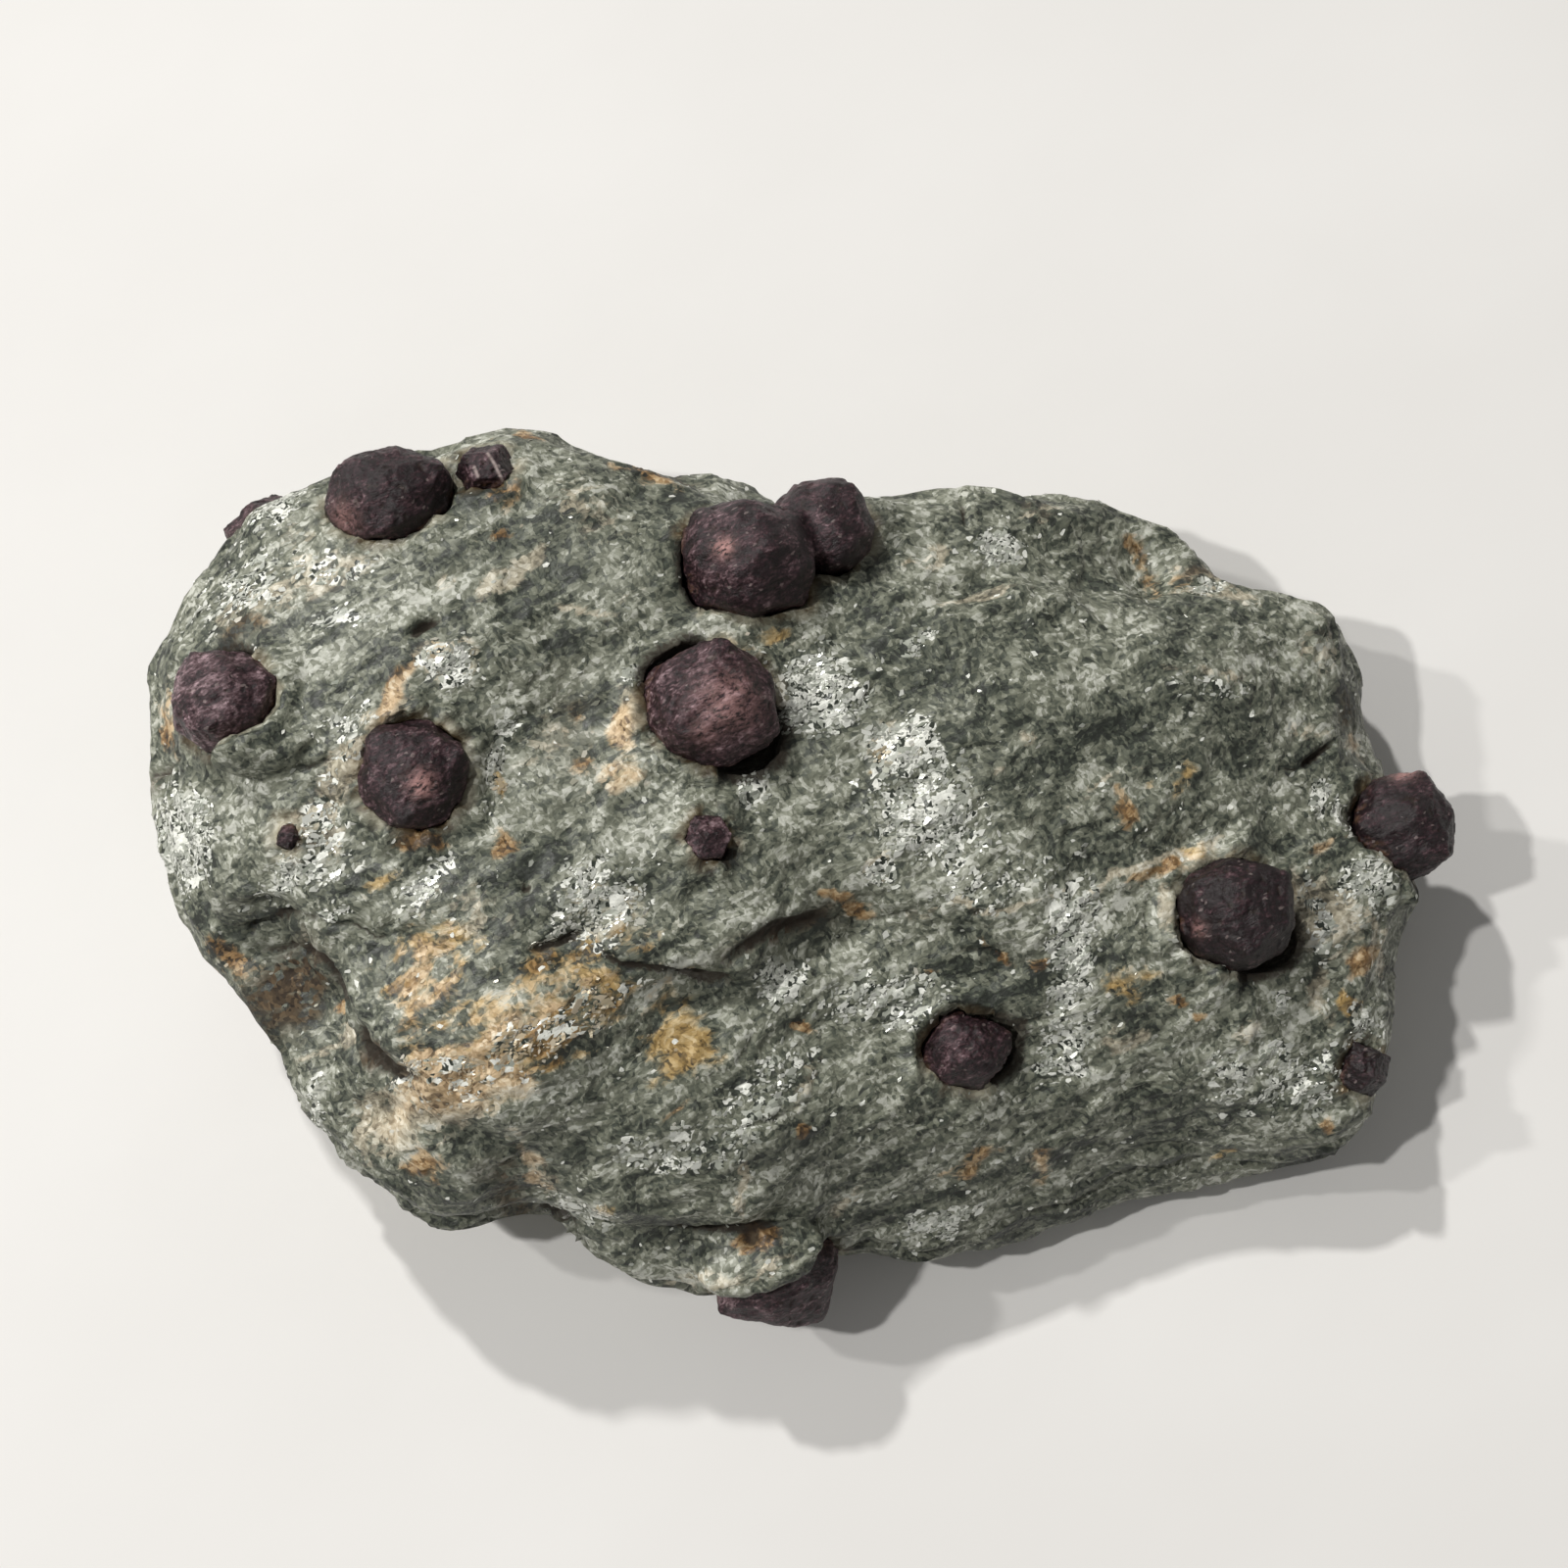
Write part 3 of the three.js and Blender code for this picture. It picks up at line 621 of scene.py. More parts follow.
def close_pockets(points):
    """Draws the rock up to each crystal, or away from it where a gap shows, and marks both kinds of wall; the
    walls of open gaps are painted dark later, as painted shade.
    """
    moved = points.copy()
    rim = np.zeros(len(points))
    open_gap_shade = np.zeros(len(points))
    hug = lumps(points / 1.9) * 0.12 - 0.02
    ragged = 0.9 + 0.5 * chips(points / 1.7)
    for node in garnet_nodes:
        low, high = box_of(node)
        middle = (low + high) / 2
        reach = np.linalg.norm(high - low) / 2 + POCKET_MARGIN
        tree = tree_of(node)
        collar = COLLARS.get(node, COLLAR_HEIGHT)
        for i in np.flatnonzero(np.linalg.norm(points - middle, axis=1) < reach):
            _, _, _, distance = tree.find_nearest(Vector(points[i]) * MM)
            distance /= MM
            if distance > COLLAR_REACH:
                continue
            angle = math.degrees(math.atan2(points[i][1] - middle[1], points[i][0] - middle[0]))
            gap = socket_gap(node, angle, hug[i])
            wanted = max(gap, -DEEPEST_HUG)
            climb = collar * ragged[i] * (1 - float(smooth(distance, WALL, COLLAR_REACH))) * (gap < OPEN_GAP)
            raised = points[i] + (0, 0, climb)
            moved[i] = raised
            spot, normal, _, distance = tree.find_nearest(Vector(raised) * MM)
            distance /= MM
            wall = rim if gap < OPEN_GAP else open_gap_shade
            wall[i] = max(wall[i], 1 - float(smooth(distance - wanted, WALL, WALL_FADE)))
            if distance < max(wanted, FREE_ROCK):
                held = distance < max(wanted, HELD_ROCK)
                weight = 1 if held else (FREE_ROCK - distance) / (FREE_ROCK - HELD_ROCK)
                target = np.array(spot) / MM + np.array(normal) * wanted
                moved[i] += (target - raised) * weight
    return moved, rim, open_gap_shade


def side_layers(points, warp):
    """Height of the layers that show on the sides, each standing out by its own amount."""
    level = (points[:, 2] + 1.5 * warp[:, 0] + 0.06 * points[:, 0]) / LAYER_THICKNESS
    layer = np.floor(level)
    offsets = np.random.default_rng(11).normal(size=400)
    this, following = (offsets[(layer + k).astype(int) % len(offsets)] for k in (0, 1))
    height = LAYER_HEIGHT * (this + (following - this) * smooth(level - layer, 0.75, 1))
    return height * (0.5 + smooth(chips(points / 5), -0.3, 0.5))


def foliation(points, normals, calm):
    """Height of the fine relief over the smooth slab: furrows, flake edges and the layers on the sides."""
    warp = swirl(lumps, points, 6, (0, 31, 57))
    bent = points + 1.6 * warp
    furrows = 0
    for noise, shift, (height, length, width) in zip((streaks, streaks, chips), (0, 9, 21), FURROWS):
        furrows = furrows + height * noise(along_lineation(bent, length, width) + shift)
    sheet = 3.0 * lumps(along_lineation(bent, 15, 8) + 40) + 0.9 * streaks(along_lineation(bent, 5, 2.4) + 3)
    upward = np.abs(normals[:, 2])
    side = 1 - smooth(upward, 0.35, 0.8)
    flakes = FLAKE_EDGE_HEIGHT * terraces(sheet, 0.16) * (1 - side)
    return (furrows * (0.7 + 0.3 * upward) + flakes) * (1 - calm) + side_layers(points, warp) * side


def cut_cracks(points, normals):
    """Depth of the named cracks and holes at each point of the top."""
    x, y, z = (points - SHIFT).T
    wander = 0.3 * lumps(points / 2.2 + 13)
    facing = smooth(normals[:, 2], 0.0, 0.3) * smooth(z, 3.5, 6)
    depth = np.zeros(len(points))
    for _, route, width, deep in CRACKS:
        distance, walked = distance_to_route(x + wander, y + wander, route)
        taper = np.sqrt(np.sin(np.pi * np.clip(walked, 0.02, 0.98)))
        depth = np.maximum(depth, deep * taper * (1 - smooth(distance, 0.25 * width, width)))
    for hx, hy, radius, deep in HOLES:
        distance = np.hypot(x - hx, y - hy)
        depth = np.maximum(depth, deep * (1 - smooth(distance, 0.3 * radius, radius)))
    return depth * facing


def slab_surface():
    piece = remeshed_copy("schist_surface", "schist", COARSE_VOXEL, add_ledges)
    mesh = piece.data
    write_points(mesh, smoothed(mesh, read_points(mesh), SMOOTHING_ROUNDS))
    divide_top(mesh)
    points = smoothed(mesh, read_points(mesh), 1)
    write_points(mesh, points)
    normals = read_normals(mesh)
    points, rim, open_gap_shade = close_pockets(points)
    ragged = frayed(points)
    masks = {kind: patch_mask(ragged, kind) for kind in PATCHES}
    relief = foliation(points, normals, 0.6 * np.clip(masks["dark"], 0, 1))
    crack = cut_cracks(points, normals)
    resting = 1 - smooth(points[:, 2], 0.2, 1.6)
    height = np.where(resting > 0, np.minimum(relief, 0) * (1 - resting), relief) - crack
    near_base = smooth(points[:, 2], 0.1, 1.5)
    moved = points + normals * (height * near_base)[:, None]
    moved[:, 2] = np.maximum(moved[:, 2], 0.0)
    write_points(mesh, moved)
    # The crack mask also takes the open gaps round the crystals; both are painted near black as shade.
    write_masks(mesh, {**masks, "crack": np.clip(crack + 0.7 * open_gap_shade, 0, 1), "rim": rim})
    shade_smooth(mesh)
    mesh.materials.append(schist_material())
    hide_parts("schist")
    return piece


# ---- mica flakes ----


def pick_flakes(mesh, random):
    """Middles and normals of the slab's faces that get a flake, most of them in the mica patches."""
    centres = read_values(mesh.polygons, "center") / MM
    facing = read_values(mesh.polygons, "normal")
    areas = read_values(mesh.polygons, "area", 1)[:, 0]
    wanted = STRAY_FLAKES + patch_mask(frayed(centres), "mica") ** 1.4 * smooth(facing[:, 2], -0.1, 0.4)
    wanted *= smooth(streaks(along_lineation(centres, 3, 1.3)), -0.35, 0.35)
    wanted *= areas * (centres[:, 2] > 2)
    picked = random.choice(len(areas), FLAKE_COUNT, p=wanted / wanted.sum(), replace=False)
    return centres[picked], facing[picked]


def flake_points(centre, normal, random):
    """Corners of all the flakes: each one's upper ring, then its lower ring."""
    axis = unit(normal + random.normal(size=normal.shape) * FLAKE_LEAN)
    lineation = np.array([math.cos(LINEATION), math.sin(LINEATION), 0])
    streak = lineation + random.normal(size=normal.shape) * FLAKE_STRAYING
    along = unit(streak - (streak * axis).sum(1, keepdims=True) * axis)
    across = np.cross(axis, along)
    size = FLAKE_RADIUS * np.exp(random.normal(size=FLAKE_COUNT) * 0.4)
    corners = (FLAKE_COUNT, FLAKE_CORNERS)
    turn = (np.arange(FLAKE_CORNERS) + random.uniform(-0.28, 0.28, corners)) * (2 * np.pi / FLAKE_CORNERS)
    reach = size[:, None] * random.uniform(0.75, 1.2, corners)
    ring = (
        centre[:, None]
        + axis[:, None] * FLAKE_LIFT
        + along[:, None] * (1.6 * reach * np.cos(turn))[:, :, None]
        + across[:, None] * (0.85 * reach * np.sin(turn))[:, :, None]
    )
    return np.concatenate([ring, ring - axis[:, None] * FLAKE_THICKNESS], 1).reshape(-1, 3)


def flake_faces():
    """Faces of all the flakes: each one's top, its bottom and its sides."""
    corners = range(FLAKE_CORNERS)
    faces = []
    for top in range(0, FLAKE_COUNT * 2 * FLAKE_CORNERS, 2 * FLAKE_CORNERS):
        bottom = top + FLAKE_CORNERS
        faces.append([top + i for i in corners])
        faces.append([bottom + i for i in reversed(corners)])
        for i in corners:
            after = (i + 1) % FLAKE_CORNERS
            faces.append([top + i, bottom + i, bottom + after, top + after])
    return faces


def mica_flakes(slab):
    """Thin tilted plates of mica lying in the slab's surface."""
    random = np.random.default_rng(17)
    centre, normal = pick_flakes(slab.data, random)
    mesh = bpy.data.meshes.new("mica_flakes")
    mesh.from_pydata((flake_points(centre, normal, random) * MM).tolist(), [], flake_faces())
    gold = np.clip(patch_mask(centre, "rust") + patch_mask(centre, "ochre"), 0, 1)
    masks = {"tint": random.uniform(0, 1, FLAKE_COUNT), "gold": gold}
    write_masks(mesh, {name: np.repeat(values, 2 * FLAKE_CORNERS) for name, values in masks.items()})
    mesh.materials.append(mica_material())
    piece = link("mica_flakes", mesh)
    return piece


# ---- the crystals ----


def crystal_relief(points, size, number):
    """Height of a crystal's fine relief, and its stripes and pits, which the colour follows too."""
    shifted = points + 17.0 * number
    grain = GradientNoise(100 + number)
    height = BROAD_RELIEF * size * grain(shifted / (0.3 * size))
    height += FINE_RELIEF * size * grain(shifted / (0.13 * size))
    sheet = 2.2 * grain(shifted / (0.4 * size) + 5) + 0.35 * grain(shifted / (0.12 * size) + 9)
    height += GROWTH_STEP * size * terraces(sheet, 0.2)
    stripe_axis = np.array([math.cos(number), math.sin(number), 0.25])
    stripes = grain(np.stack([shifted @ stripe_axis * 1.6, shifted[:, 2] * 0.25, shifted[:, 1] * 0.25], 1))
    pits = smooth(grain(shifted / 0.75), 0.42, 0.8)
    scratches = chips(shifted / (0.5, 0.5, 0.9))
    height += STRIPE_HEIGHT * stripes - PIT_DEPTH * pits + SCRATCH_DEPTH * (scratches - 1)
    return height, stripes, pits


def pink_mask(points):
    mask = np.zeros(len(points))
    for x, y, z, radius, strength in PINK_SPOTS:
        spread = np.linalg.norm(points - SHIFT - (x, y, z), axis=1) / radius
        mask = np.maximum(mask, strength * np.exp(-spread * spread))
    return mask


def line_mask(points):
    x, y, _ = (points - SHIFT).T
    mask = np.zeros(len(points))
    for route in STRIATIONS:
        distance, _ = distance_to_route(x, y, route)
        mask = np.maximum(mask, 1 - smooth(distance, *STRIATION_EDGE))
    return mask


def buried_mask(points, slab_tree):
    """1 where a crystal lies against the rock, fading out a little above it."""
    found = [slab_tree.find_nearest(Vector(point) * MM) for point in points]
    cover = np.array([distance for _, _, _, distance in found]) / MM
    return 1 - smooth(cover, 0.2, 1.5)


def crystal(node, number, look, slab_tree):
    low, high = box_of(node)
    size = (high - low).max()
    piece = remeshed_copy(node + "_crystal", node, max(size / GARNET_FACETS_ACROSS, GARNET_SMALLEST_VOXEL))
    mesh = piece.data
    points = smoothed(mesh, read_points(mesh), GARNET_SMOOTHING_ROUNDS)
    write_points(mesh, points)
    height, stripes, pits = crystal_relief(points, size, number)
    write_points(mesh, points + read_normals(mesh) * height[:, None])
    masks = {
        "pink": pink_mask(points),
        "lines": line_mask(points),
        "stripes": stripes,
        "pits": pits,
        "worn": np.full(len(points), WORN.get(node, USUALLY_WORN)),
        "buried": buried_mask(points, slab_tree),
    }
    write_masks(mesh, masks)
    shade_smooth(mesh)
    mesh.materials.append(look)
    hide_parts(node)
    return piece


# ---- materials ----


class Shader:
    """A material being built: each call adds nodes and gives back an output to plug in elsewhere."""

    def __init__(self, name):
        self.material = bpy.data.materials.new(name)
        self.material.use_nodes = True
        self.tree = self.material.node_tree
        self.place = self.add("ShaderNodeTexCoord", {})["Object"]

    def plug(self, node, inputs):
        for socket, value in inputs.items():
            if isinstance(value, bpy.types.NodeSocket):
                self.tree.links.new(value, node.inputs[socket])
            else:
                node.inputs[socket].default_value = value

    def add(self, kind, inputs, **settings):
        node = self.tree.nodes.new(kind)
        for name, value in settings.items():
            setattr(node, name, value)
        self.plug(node, inputs)
        return node.outputs

    def stretched(self, length, width, depth=None, turn=LINEATION):
        """The place on the object, turned and shrunk, so that textures are stretched."""
        scale = (length * MM, width * MM, (depth or width) * MM)
        inputs = {"Vector": self.place, "Rotation": (0, 0, turn), "Scale": scale}
        return self.add("ShaderNodeMapping", inputs, vector_type="TEXTURE")["Vector"]

    def noise(self, vector, detail=3.0, roughness=0.55, output="Fac"):
        inputs = {"Vector": vector, "Scale": 1.0, "Detail": detail, "Roughness": roughness}
        return self.add("ShaderNodeTexNoise", inputs)[output]

    def cells(self, vector):
        """Flat cells: their random colour, and three random numbers taken from it."""
        colour = self.add("ShaderNodeTexVoronoi", {"Vector": vector, "Scale": 1.0})["Color"]
        return colour, list(self.add("ShaderNodeSeparateColor", {0: colour}))[:3]

    def vector_math(self, operation, inputs):
        return self.add("ShaderNodeVectorMath", inputs, operation=operation)[0]

    def pushed(self, vector, colour, amount):
        """A vector pushed by a random colour, at most half the amount each way."""
        centred = self.vector_math("SUBTRACT", {0: colour, 1: (0.5, 0.5, 0.5)})
        scaled = self.vector_math("SCALE", {0: centred, "Scale": amount})
        return self.vector_math("ADD", {0: vector, 1: scaled})

    def sway(self, size, amount):
        """Bends every texture that is added later by a slow noise."""
        slow = self.noise(self.stretched(size, size), detail=2, output="Color")
        self.place = self.pushed(self.place, slow, amount * MM)

    def facets(self, colour, strength):
        """The surface normal leaned by a random amount in each cell, so that flakes glint one by one."""
        normal = self.add("ShaderNodeNewGeometry", {})["Normal"]
        return self.vector_math("NORMALIZE", {0: self.pushed(normal, colour, strength)})

    def mask(self, name):
        return self.add("ShaderNodeAttribute", {}, attribute_name=name)["Fac"]

    def math(self, operation, a, b, clamp=False):
        return self.add("ShaderNodeMath", {0: a, 1: b}, operation=operation, use_clamp=clamp)[0]

    def times(self, *values):
        product = values[0]
        for value in values[1:]:
            product = self.math("MULTIPLY", product, value, clamp=True)
        return product

    def total(self, *terms):
        """The sum of some values, each times its weight."""
        result = None
        for value, weight in terms:
            part = self.math("MULTIPLY", value, weight)
            result = part if result is None else self.math("ADD", result, part)
        return result

    def ramp(self, value, low, high):
        inputs = {"Value": value, "From Min": low, "From Max": high}
        return self.add("ShaderNodeMapRange", inputs, interpolation_type="SMOOTHSTEP")["Result"]

    def below(self, value, share, blur):
        """1 where a random value is less than a share of the whole, with a narrow blurred edge."""
        return self.ramp(self.math("SUBTRACT", share, value), 0.0, blur)

    def patch(self, mask, ragged):
        """Where a stain shows: more of it, with ragged edges, the stronger its mask is."""
        reach = self.math("ADD", ragged, self.math("MULTIPLY", mask, PATCH_WEIGHT))
        return self.times(self.ramp(reach, *PATCH_EDGE), self.ramp(mask, *PATCH_FADE), PATCH_COVER)

    def scale(self, value, tones):
        """Colours along a scale of tones."""
        node = self.tree.nodes.new("ShaderNodeValToRGB")
        elements = node.color_ramp.elements
        for place, *_ in tones[1:-1]:
            elements.new(place)
        for element, (place, *colour) in zip(elements, tones):
            element.position = place
            element.color = (*colour, 1)
        self.plug(node, {"Fac": value})
        return node.outputs["Color"]

    def mix(self, share, a, b):
        """A colour between two others."""
        return self.add("ShaderNodeMix", {"Factor": share, 6: a, 7: b}, data_type="RGBA")[2]

    def blend(self, share, a, b):
        """A number between two others."""
        return self.add("ShaderNodeMix", {"Factor": share, 2: a, 3: b}, data_type="FLOAT")[0]

    def bump(self, height, distance, strength=1.0, normal=None):
        inputs = {"Height": height, "Distance": distance * MM, "Strength": strength}
        if normal is not None:
            inputs["Normal"] = normal
        return self.add("ShaderNodeBump", inputs)["Normal"]

    def finish(self, colour, roughness, normal, ior, metallic=0.0):
        look = {"Base Color": colour, "Roughness": roughness, "Normal": normal}
        self.plug(self.tree.nodes["Principled BSDF"], {**look, "Metallic": metallic, "IOR": ior})
        return self.material


# Tones from dark to pale: place on a scale from 0 to 1, red, green and blue.
ROCK_TONES = [
    (0.12, 0.02, 0.024, 0.018), (0.3, 0.06, 0.07, 0.052), (0.46, 0.126, 0.136, 0.1),
    (0.6, 0.192, 0.202, 0.151), (0.76, 0.33, 0.342, 0.276), (0.94, 0.58, 0.59, 0.52),
]
CREAM_TONES = [
    (0.05, 0.1, 0.092, 0.066), (0.3, 0.28, 0.25, 0.18), (0.5, 0.47, 0.42, 0.31), (0.7, 0.66, 0.61, 0.48),
    (0.94, 0.82, 0.78, 0.66),
]
PEACH_TONES = [
    (0.05, 0.13, 0.08, 0.038), (0.3, 0.44, 0.305, 0.165), (0.5, 0.68, 0.505, 0.31), (0.7, 0.8, 0.63, 0.41),
    (0.94, 0.9, 0.8, 0.62),
]
OCHRE_TONES = [
    (0.05, 0.09, 0.058, 0.02), (0.26, 0.23, 0.146, 0.046), (0.42, 0.38, 0.242, 0.078),
    (0.6, 0.53, 0.35, 0.125), (0.9, 0.74, 0.56, 0.29),
]
RUST_TONES = [
    (0.1, 0.032, 0.018, 0.008), (0.3, 0.11, 0.058, 0.019), (0.46, 0.23, 0.12, 0.038),
    (0.62, 0.38, 0.22, 0.085), (0.9, 0.64, 0.46, 0.25),
]
GARNET_TONES = [
    (0.22, 0.008, 0.003, 0.004), (0.45, 0.026, 0.01, 0.014), (0.65, 0.082, 0.042, 0.049),
    (0.85, 0.225, 0.15, 0.165), (1, 0.45, 0.31, 0.34),
]
SILVER = (0.4, 0.42, 0.36, 1)
# Pale mica, partly painted sheen and glint.
PALE_MICA_AND_GLINT = (0.86, 0.87, 0.8, 1)
GREY_PLATE = (0.26, 0.28, 0.23, 1)
BRIGHT_PLATE = (0.8, 0.81, 0.75, 1)
GOLD_PLATE = (0.62, 0.43, 0.2, 1)
CREAM = (0.5, 0.45, 0.33, 1)
GAP_GREEN = (0.036, 0.043, 0.033, 1)
DARK_BROWN_AND_SHADE = (0.12, 0.082, 0.045, 1)
# Near black, for painted shade in cracks and gaps, for the brown patches and for the crystals' pits.
SHADE_AND_STAIN_BLACK = (0.026, 0.017, 0.01, 1)
RIM_OCHRE = (0.17, 0.105, 0.042, 1)
GARNET_PINK = (0.5, 0.27, 0.25, 1)
PALE_LINE = (0.42, 0.34, 0.32, 1)
SEAM_BROWN = (0.14, 0.075, 0.032, 1)
FLOOR_SHADE = (0.8, 0.788, 0.768, 1)
FLOOR_LIGHT = (0.84, 0.83, 0.812, 1)

# These bring the middle of the summed noises to the right tone.
ROCK_OFFSET = 1.665
GARNET_OFFSET = 1.31

# A stain shows where the noise and its mask, at this weight, come to more than the edge.
PATCH_WEIGHT = 0.30
PATCH_EDGE = (0.66, 0.88)
PATCH_FADE = (0.03, 0.2)
PATCH_COVER = 0.85


def rock_textures(s):
    """The noises, from broad to fine, and the cells that the colour and relief of the rock share."""
    t = SimpleNamespace(mica=s.mask("mica"))
    t.bands = s.noise(s.stretched(15, 3.4), roughness=0.5)
    t.blotches = s.noise(s.stretched(9, 6), detail=4, roughness=0.6)
    t.streak = s.noise(s.stretched(3.6, 1.2), detail=4, roughness=0.65)
    t.spots = s.noise(s.stretched(3.4, 2.0))
    t.fibres = s.noise(s.stretched(1.5, 0.4), roughness=0.6)
    crossing = s.noise(s.stretched(1.2, 0.36, turn=CROSSING), roughness=0.6)
    t.felt = s.math("MAXIMUM", t.fibres, crossing)
    t.chip_colour, (t.chip, t.second, t.third) = s.cells(s.stretched(1.05, 0.62))
    _, (t.speck, t.fourth, _) = s.cells(s.stretched(0.5, 0.38, turn=CROSSING))
    return t


def stained_rock(s, t):
    """Green-grey rock, streaked and chipped, with its ochre, rust and cream stains."""
    tone = s.total(
        (t.chip, 0.40),
        (t.speck, 0.38),
        (t.blotches, 1.3),
        (t.bands, 1.1),
        (t.streak, 0.9),
        (t.felt, 0.3),
        (s.mask("dark"), -0.14),
        # mica patches a little paler: painted sheen
        (t.mica, 0.10),
    )
    tone = s.math("SUBTRACT", tone, ROCK_OFFSET)
    rust, ochre = s.mask("rust"), s.mask("ochre")
    stained = s.math("ADD", rust, ochre, clamp=True)
    ragged = s.total((t.streak, 0.2), (t.spots, 0.8), (t.chip, 0.10), (t.speck, 0.06))
    fibrous = s.total((t.fibres, 0.3), (t.spots, 0.7), (t.second, 0.2))
    cream = s.mix(s.ramp(stained, 0.1, 0.7), s.scale(tone, CREAM_TONES), s.scale(tone, PEACH_TONES))
    colour = s.scale(tone, ROCK_TONES)
    colour = s.mix(s.patch(ochre, ragged), colour, s.scale(tone, OCHRE_TONES))
    colour = s.mix(s.patch(rust, ragged), colour, s.scale(tone, RUST_TONES))
    return s.mix(s.patch(s.mask("pale"), fibrous), colour, cream)


def mica_shards(s, t, present, colour):
    """Small pale mica shards with dark gaps and broader plates, partly the mica's own colour and partly
    painted sheen, and a few painted glints, over the colour of the rock.
    """
    shard = s.mix(s.ramp(t.second, 0.25, 0.5), SILVER, PALE_MICA_AND_GLINT)
    shard = s.mix(s.ramp(t.fourth, 0.66, 0.7), shard, GAP_GREEN)
    colour = s.mix(present, colour, shard)
    _, (plate, plate_tone, _) = s.cells(s.stretched(1.6, 0.8))
    broad = s.times(s.below(plate, s.times(t.mica, 0.34), 0.03), s.ramp(t.speck, 0.25, 0.3))
    colour = s.mix(broad, colour, s.mix(s.ramp(plate_tone, 0.2, 0.6), SILVER, PALE_MICA_AND_GLINT))
    # A few cells painted white: painted glints.
    _, (glint_chance, _, _) = s.cells(s.stretched(0.5, 0.4))
    return s.mix(s.ramp(glint_chance, 0.9975, 0.9985), colour, PALE_MICA_AND_GLINT)


def schist_material():
    s = Shader("schist")
    s.sway(7, 2.4)
    s.sway(1.5, 0.6)
    t = rock_textures(s)
    present = s.below(t.third, s.times(t.mica, 0.85), 0.06)
    colour = mica_shards(s, t, present, stained_rock(s, t))

    # Brown patches: partly brown stain, and painted shade in the pit and the gully.
    brown_stain_and_shade = s.times(s.mask("brown"), s.ramp(s.total((t.spots, 0.6), (t.chip, 0.4)), 0.25, 0.6))
    colour = s.mix(brown_stain_and_shade, colour, s.mix(t.speck, SHADE_AND_STAIN_BLACK, DARK_BROWN_AND_SHADE))
    rim = s.times(s.mask("rim"), s.ramp(t.spots, 0.36, 0.52), 0.7)
    colour = s.mix(rim, colour, s.mix(s.ramp(t.blotches, 0.42, 0.52), RIM_OCHRE, CREAM))
    # Cracks and open gaps are painted near black: painted shade.
    crack_shade = s.ramp(s.total((s.mask("crack"), 1.0), (t.speck, 0.35)), 0.45, 0.9)
    colour = s.mix(s.times(crack_shade, 0.9), colour, SHADE_AND_STAIN_BLACK)

    grain = s.total((t.felt, 0.35), (t.streak, 0.9), (t.chip, 0.6), (t.speck, 0.35))
    leaned = s.facets(t.chip_colour, s.blend(t.mica, 0.14, 0.5))
    roughness = s.blend(present, s.blend(s.ramp(t.felt, 0.45, 0.65), 0.62, 0.42), 0.3)
    roughness = s.blend(s.math("MAXIMUM", crack_shade, brown_stain_and_shade), roughness, 0.92)
    return s.finish(colour, roughness, s.bump(grain, 0.26, 0.85, leaned), ior=1.55)


def mica_material():
    s = Shader("mica")
    tint = s.mask("tint")
    gold = s.times(s.mask("gold"), 0.55)
    colour = s.mix(gold, s.mix(tint, GREY_PLATE, BRIGHT_PLATE), GOLD_PLATE)
    ripple = s.noise(s.stretched(0.9, 0.35))
    return s.finish(colour, s.blend(tint, 0.36, 0.22), s.bump(ripple, 0.05), ior=1.6, metallic=0.2)


def garnet_material():
    s = Shader("garnet_look")
    s.sway(1.8, 0.5)
    mottle = s.noise(s.stretched(2.6, 1.7, 2.0), detail=5, roughness=0.65)
    fine = s.noise(s.stretched(0.8, 0.4, 0.5), detail=4, roughness=0.75)
    chip_colour, (chip, glint_chance, _) = s.cells(s.stretched(0.42, 0.22, 0.3))
    worn, stripes = s.mask("worn"), s.mask("stripes")
    tone = s.total((mottle, 1.5), (fine, 1.3), (chip, 0.30), (stripes, 0.05), (worn, 0.34))
    colour = s.scale(s.math("SUBTRACT", tone, GARNET_OFFSET), GARNET_TONES)
    # Rare pale specks: painted glints.
    colour = s.mix(s.times(s.ramp(glint_chance, 0.985, 0.99), 0.3), colour, PALE_LINE)
    colour = s.mix(s.times(s.mask("pink"), s.ramp(fine, 0.36, 0.54)), colour, GARNET_PINK)
    colour = s.mix(s.times(s.mask("lines"), 0.8), colour, PALE_LINE)
    colour = s.mix(s.times(s.mask("pits"), 0.6), colour, SHADE_AND_STAIN_BLACK)
    seam = s.times(s.mask("buried"), s.ramp(mottle, 0.48, 0.64), 0.5)
    colour = s.mix(seam, colour, SEAM_BROWN)
    grain = s.total((fine, 1.0), (mottle, 1.0))
    normal = s.bump(grain, 0.24, 0.85, s.facets(chip_colour, 0.22))
    return s.finish(colour, s.blend(fine, 0.36, 0.6), normal, ior=1.48)


def floor_material():
    s = Shader("worktop")
    cloud = s.noise(s.stretched(90, 60), detail=4)
    colour = s.mix(s.ramp(cloud, 0.3, 0.75), FLOOR_SHADE, FLOOR_LIGHT)
    return s.finish(colour, 0.5, s.bump(cloud, 0.02, 0.2), ior=1.45)


# ---- floor, lights and camera ----
# The floor's and the lamps' lengths are in metres.

FLOOR_HALF = 1.5

LAMP_COLOUR = (1.0, 0.985, 0.96)
LAMP_HALF_ANGLE = math.radians(1.1)  # sets how soft the shadows are
ROOM_COLOUR = (1.0, 0.99, 0.97, 1)
ROOM_STRENGTH = 0.185

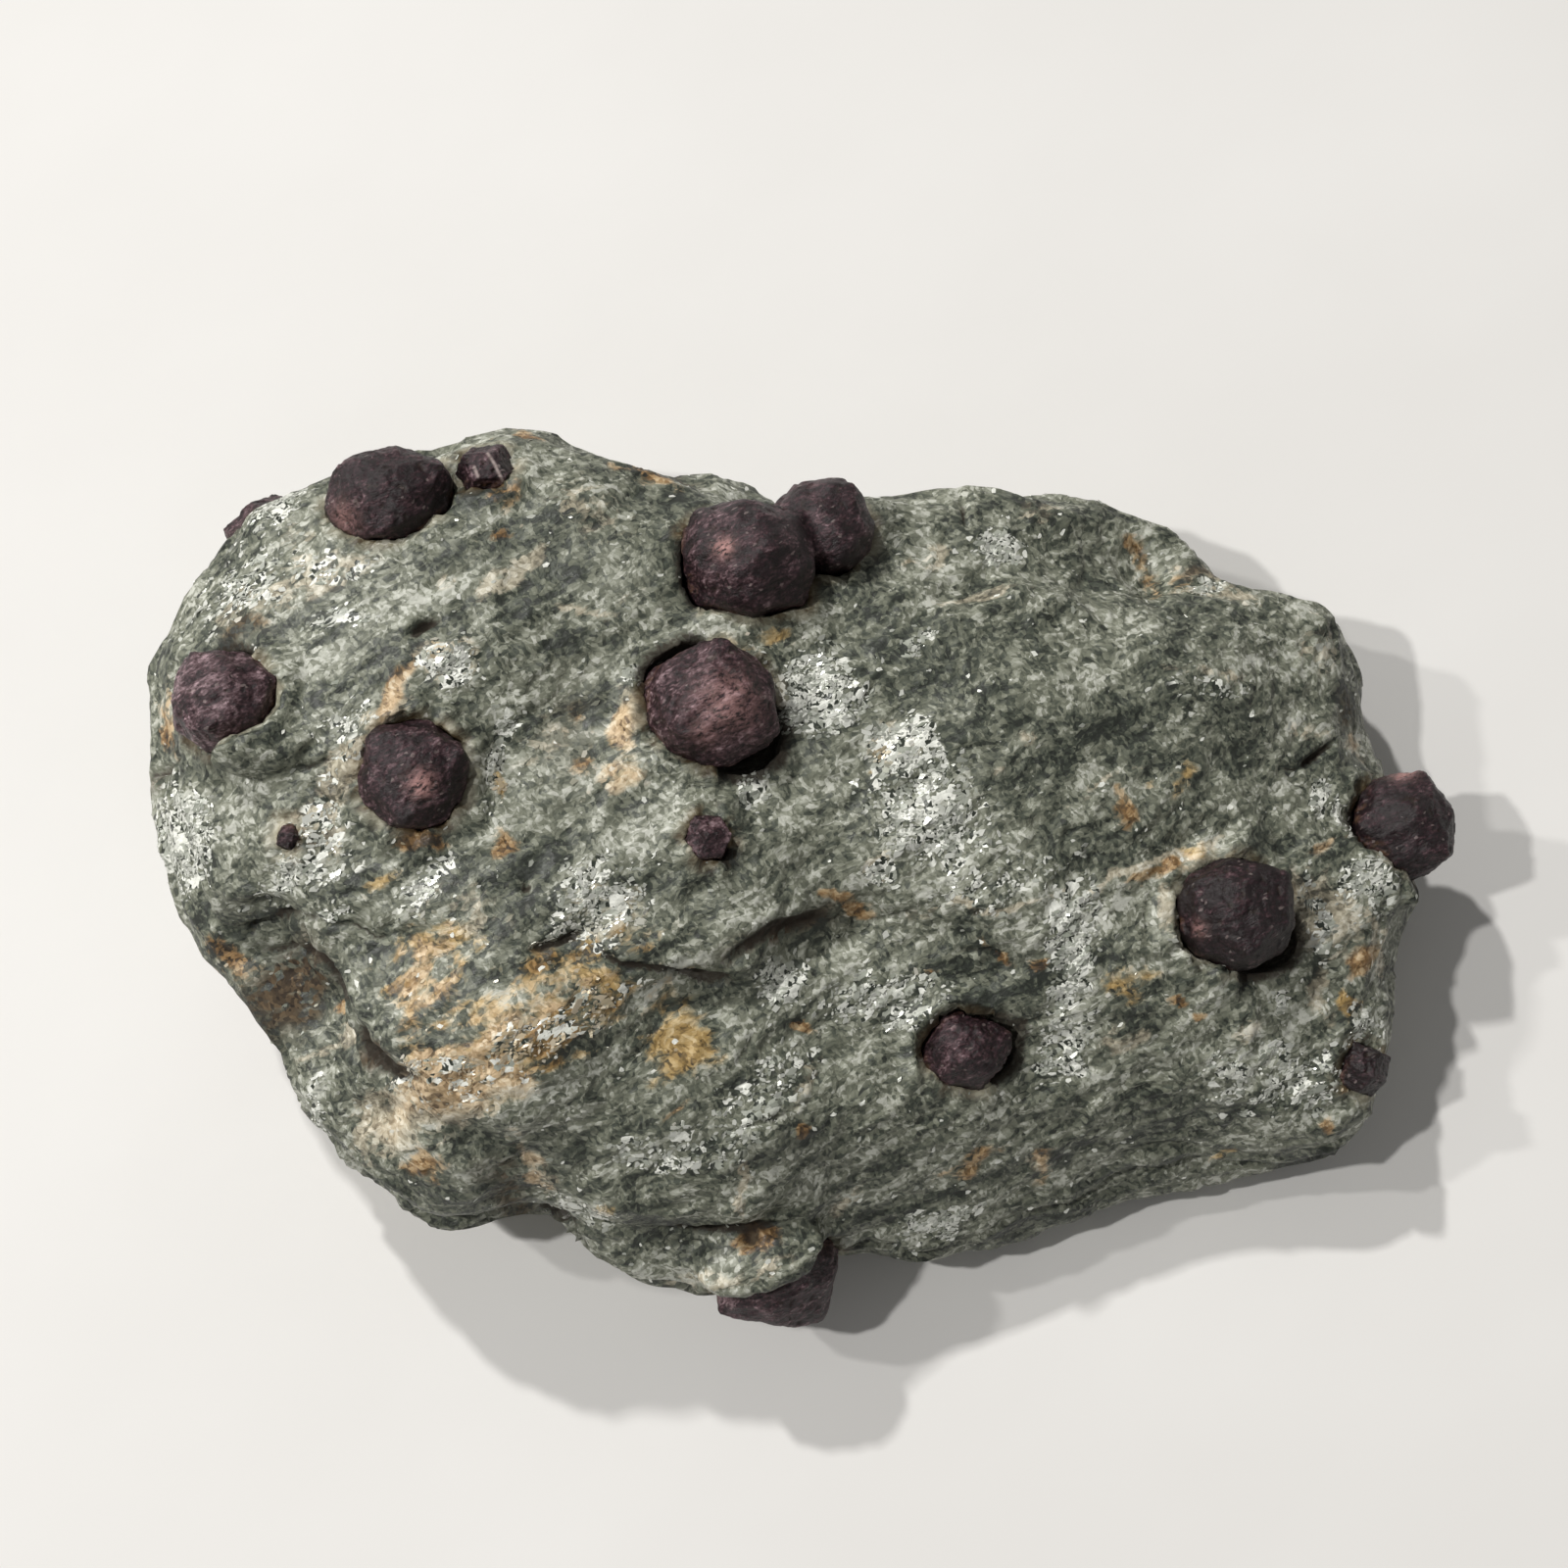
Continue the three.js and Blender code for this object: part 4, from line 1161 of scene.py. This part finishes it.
# Lamps: compass direction (0 is +X, 90 is +Y) and elevation in degrees, distance, and the power of a lamp
# that lights the slab as strongly from one metre away.
LAMPS = {
    "lamp_back_left": (121, 45, 4, 5.15),
    "lamp_left": (181, 58, 1.3, 3.85),
    "lamp_low_left": (164, 42, 3, 2.2),
}


def floor():
    mesh = bpy.data.meshes.new("floor")
    corners = [(-1, -1, 0), (1, -1, 0), (1, 1, 0), (-1, 1, 0)]
    mesh.from_pydata([Vector(corner) * FLOOR_HALF for corner in corners], [], [(0, 1, 2, 3)])
    mesh.materials.append(floor_material())
    piece = link("floor", mesh)


def face_back(thing, direction):
    """Turns a lamp or the camera to look back along the direction in which it stands."""
    thing.rotation_euler = (-direction).to_track_quat("-Z", "Y").to_euler()


def lamp(name, compass, elevation, away, power):
    data = bpy.data.lights.new(name, "AREA")
    data.energy = power * away**2
    data.size = 2 * away * math.tan(LAMP_HALF_ANGLE)
    data.color = LAMP_COLOUR
    a, e = math.radians(compass), math.radians(elevation)
    direction = Vector((math.cos(a) * math.cos(e), math.sin(a) * math.cos(e), math.sin(e)))
    lamp_object = link(name, data)
    lamp_object.location = direction * away
    face_back(lamp_object, direction)


def room_light():
    world = bpy.data.worlds.new("room")
    world.use_nodes = True
    background = world.node_tree.nodes["Background"]
    background.inputs["Color"].default_value = ROOM_COLOUR
    background.inputs["Strength"].default_value = ROOM_STRENGTH
    bpy.context.scene.world = world


def camera():
    data = bpy.data.cameras.new("camera")
    data.sensor_width = 36
    data.lens = data.sensor_width / 2 / CAMERA_HALF_WIDTH
    data.clip_start = 0.01
    viewer = link("camera", data)
    back = Vector((0, -math.cos(CAMERA_ELEVATION), math.sin(CAMERA_ELEVATION)))
    viewer.location = (Vector(CAMERA_AIM) + back * CAMERA_DISTANCE) * MM
    face_back(viewer, back)
    bpy.context.scene.camera = viewer


# ---- the scene ----

floor()
for name, settings in LAMPS.items():
    lamp(name, *settings)
room_light()
camera()
bpy.context.scene.view_settings.view_transform = "Standard"

slab_tree = tree_of("schist")
garnet_look = garnet_material()
slab = slab_surface()
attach(slab, "root")
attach(mica_flakes(slab), "root")
for number, node in enumerate(garnet_nodes):
    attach(crystal(node, number, garnet_look, slab_tree), "root")
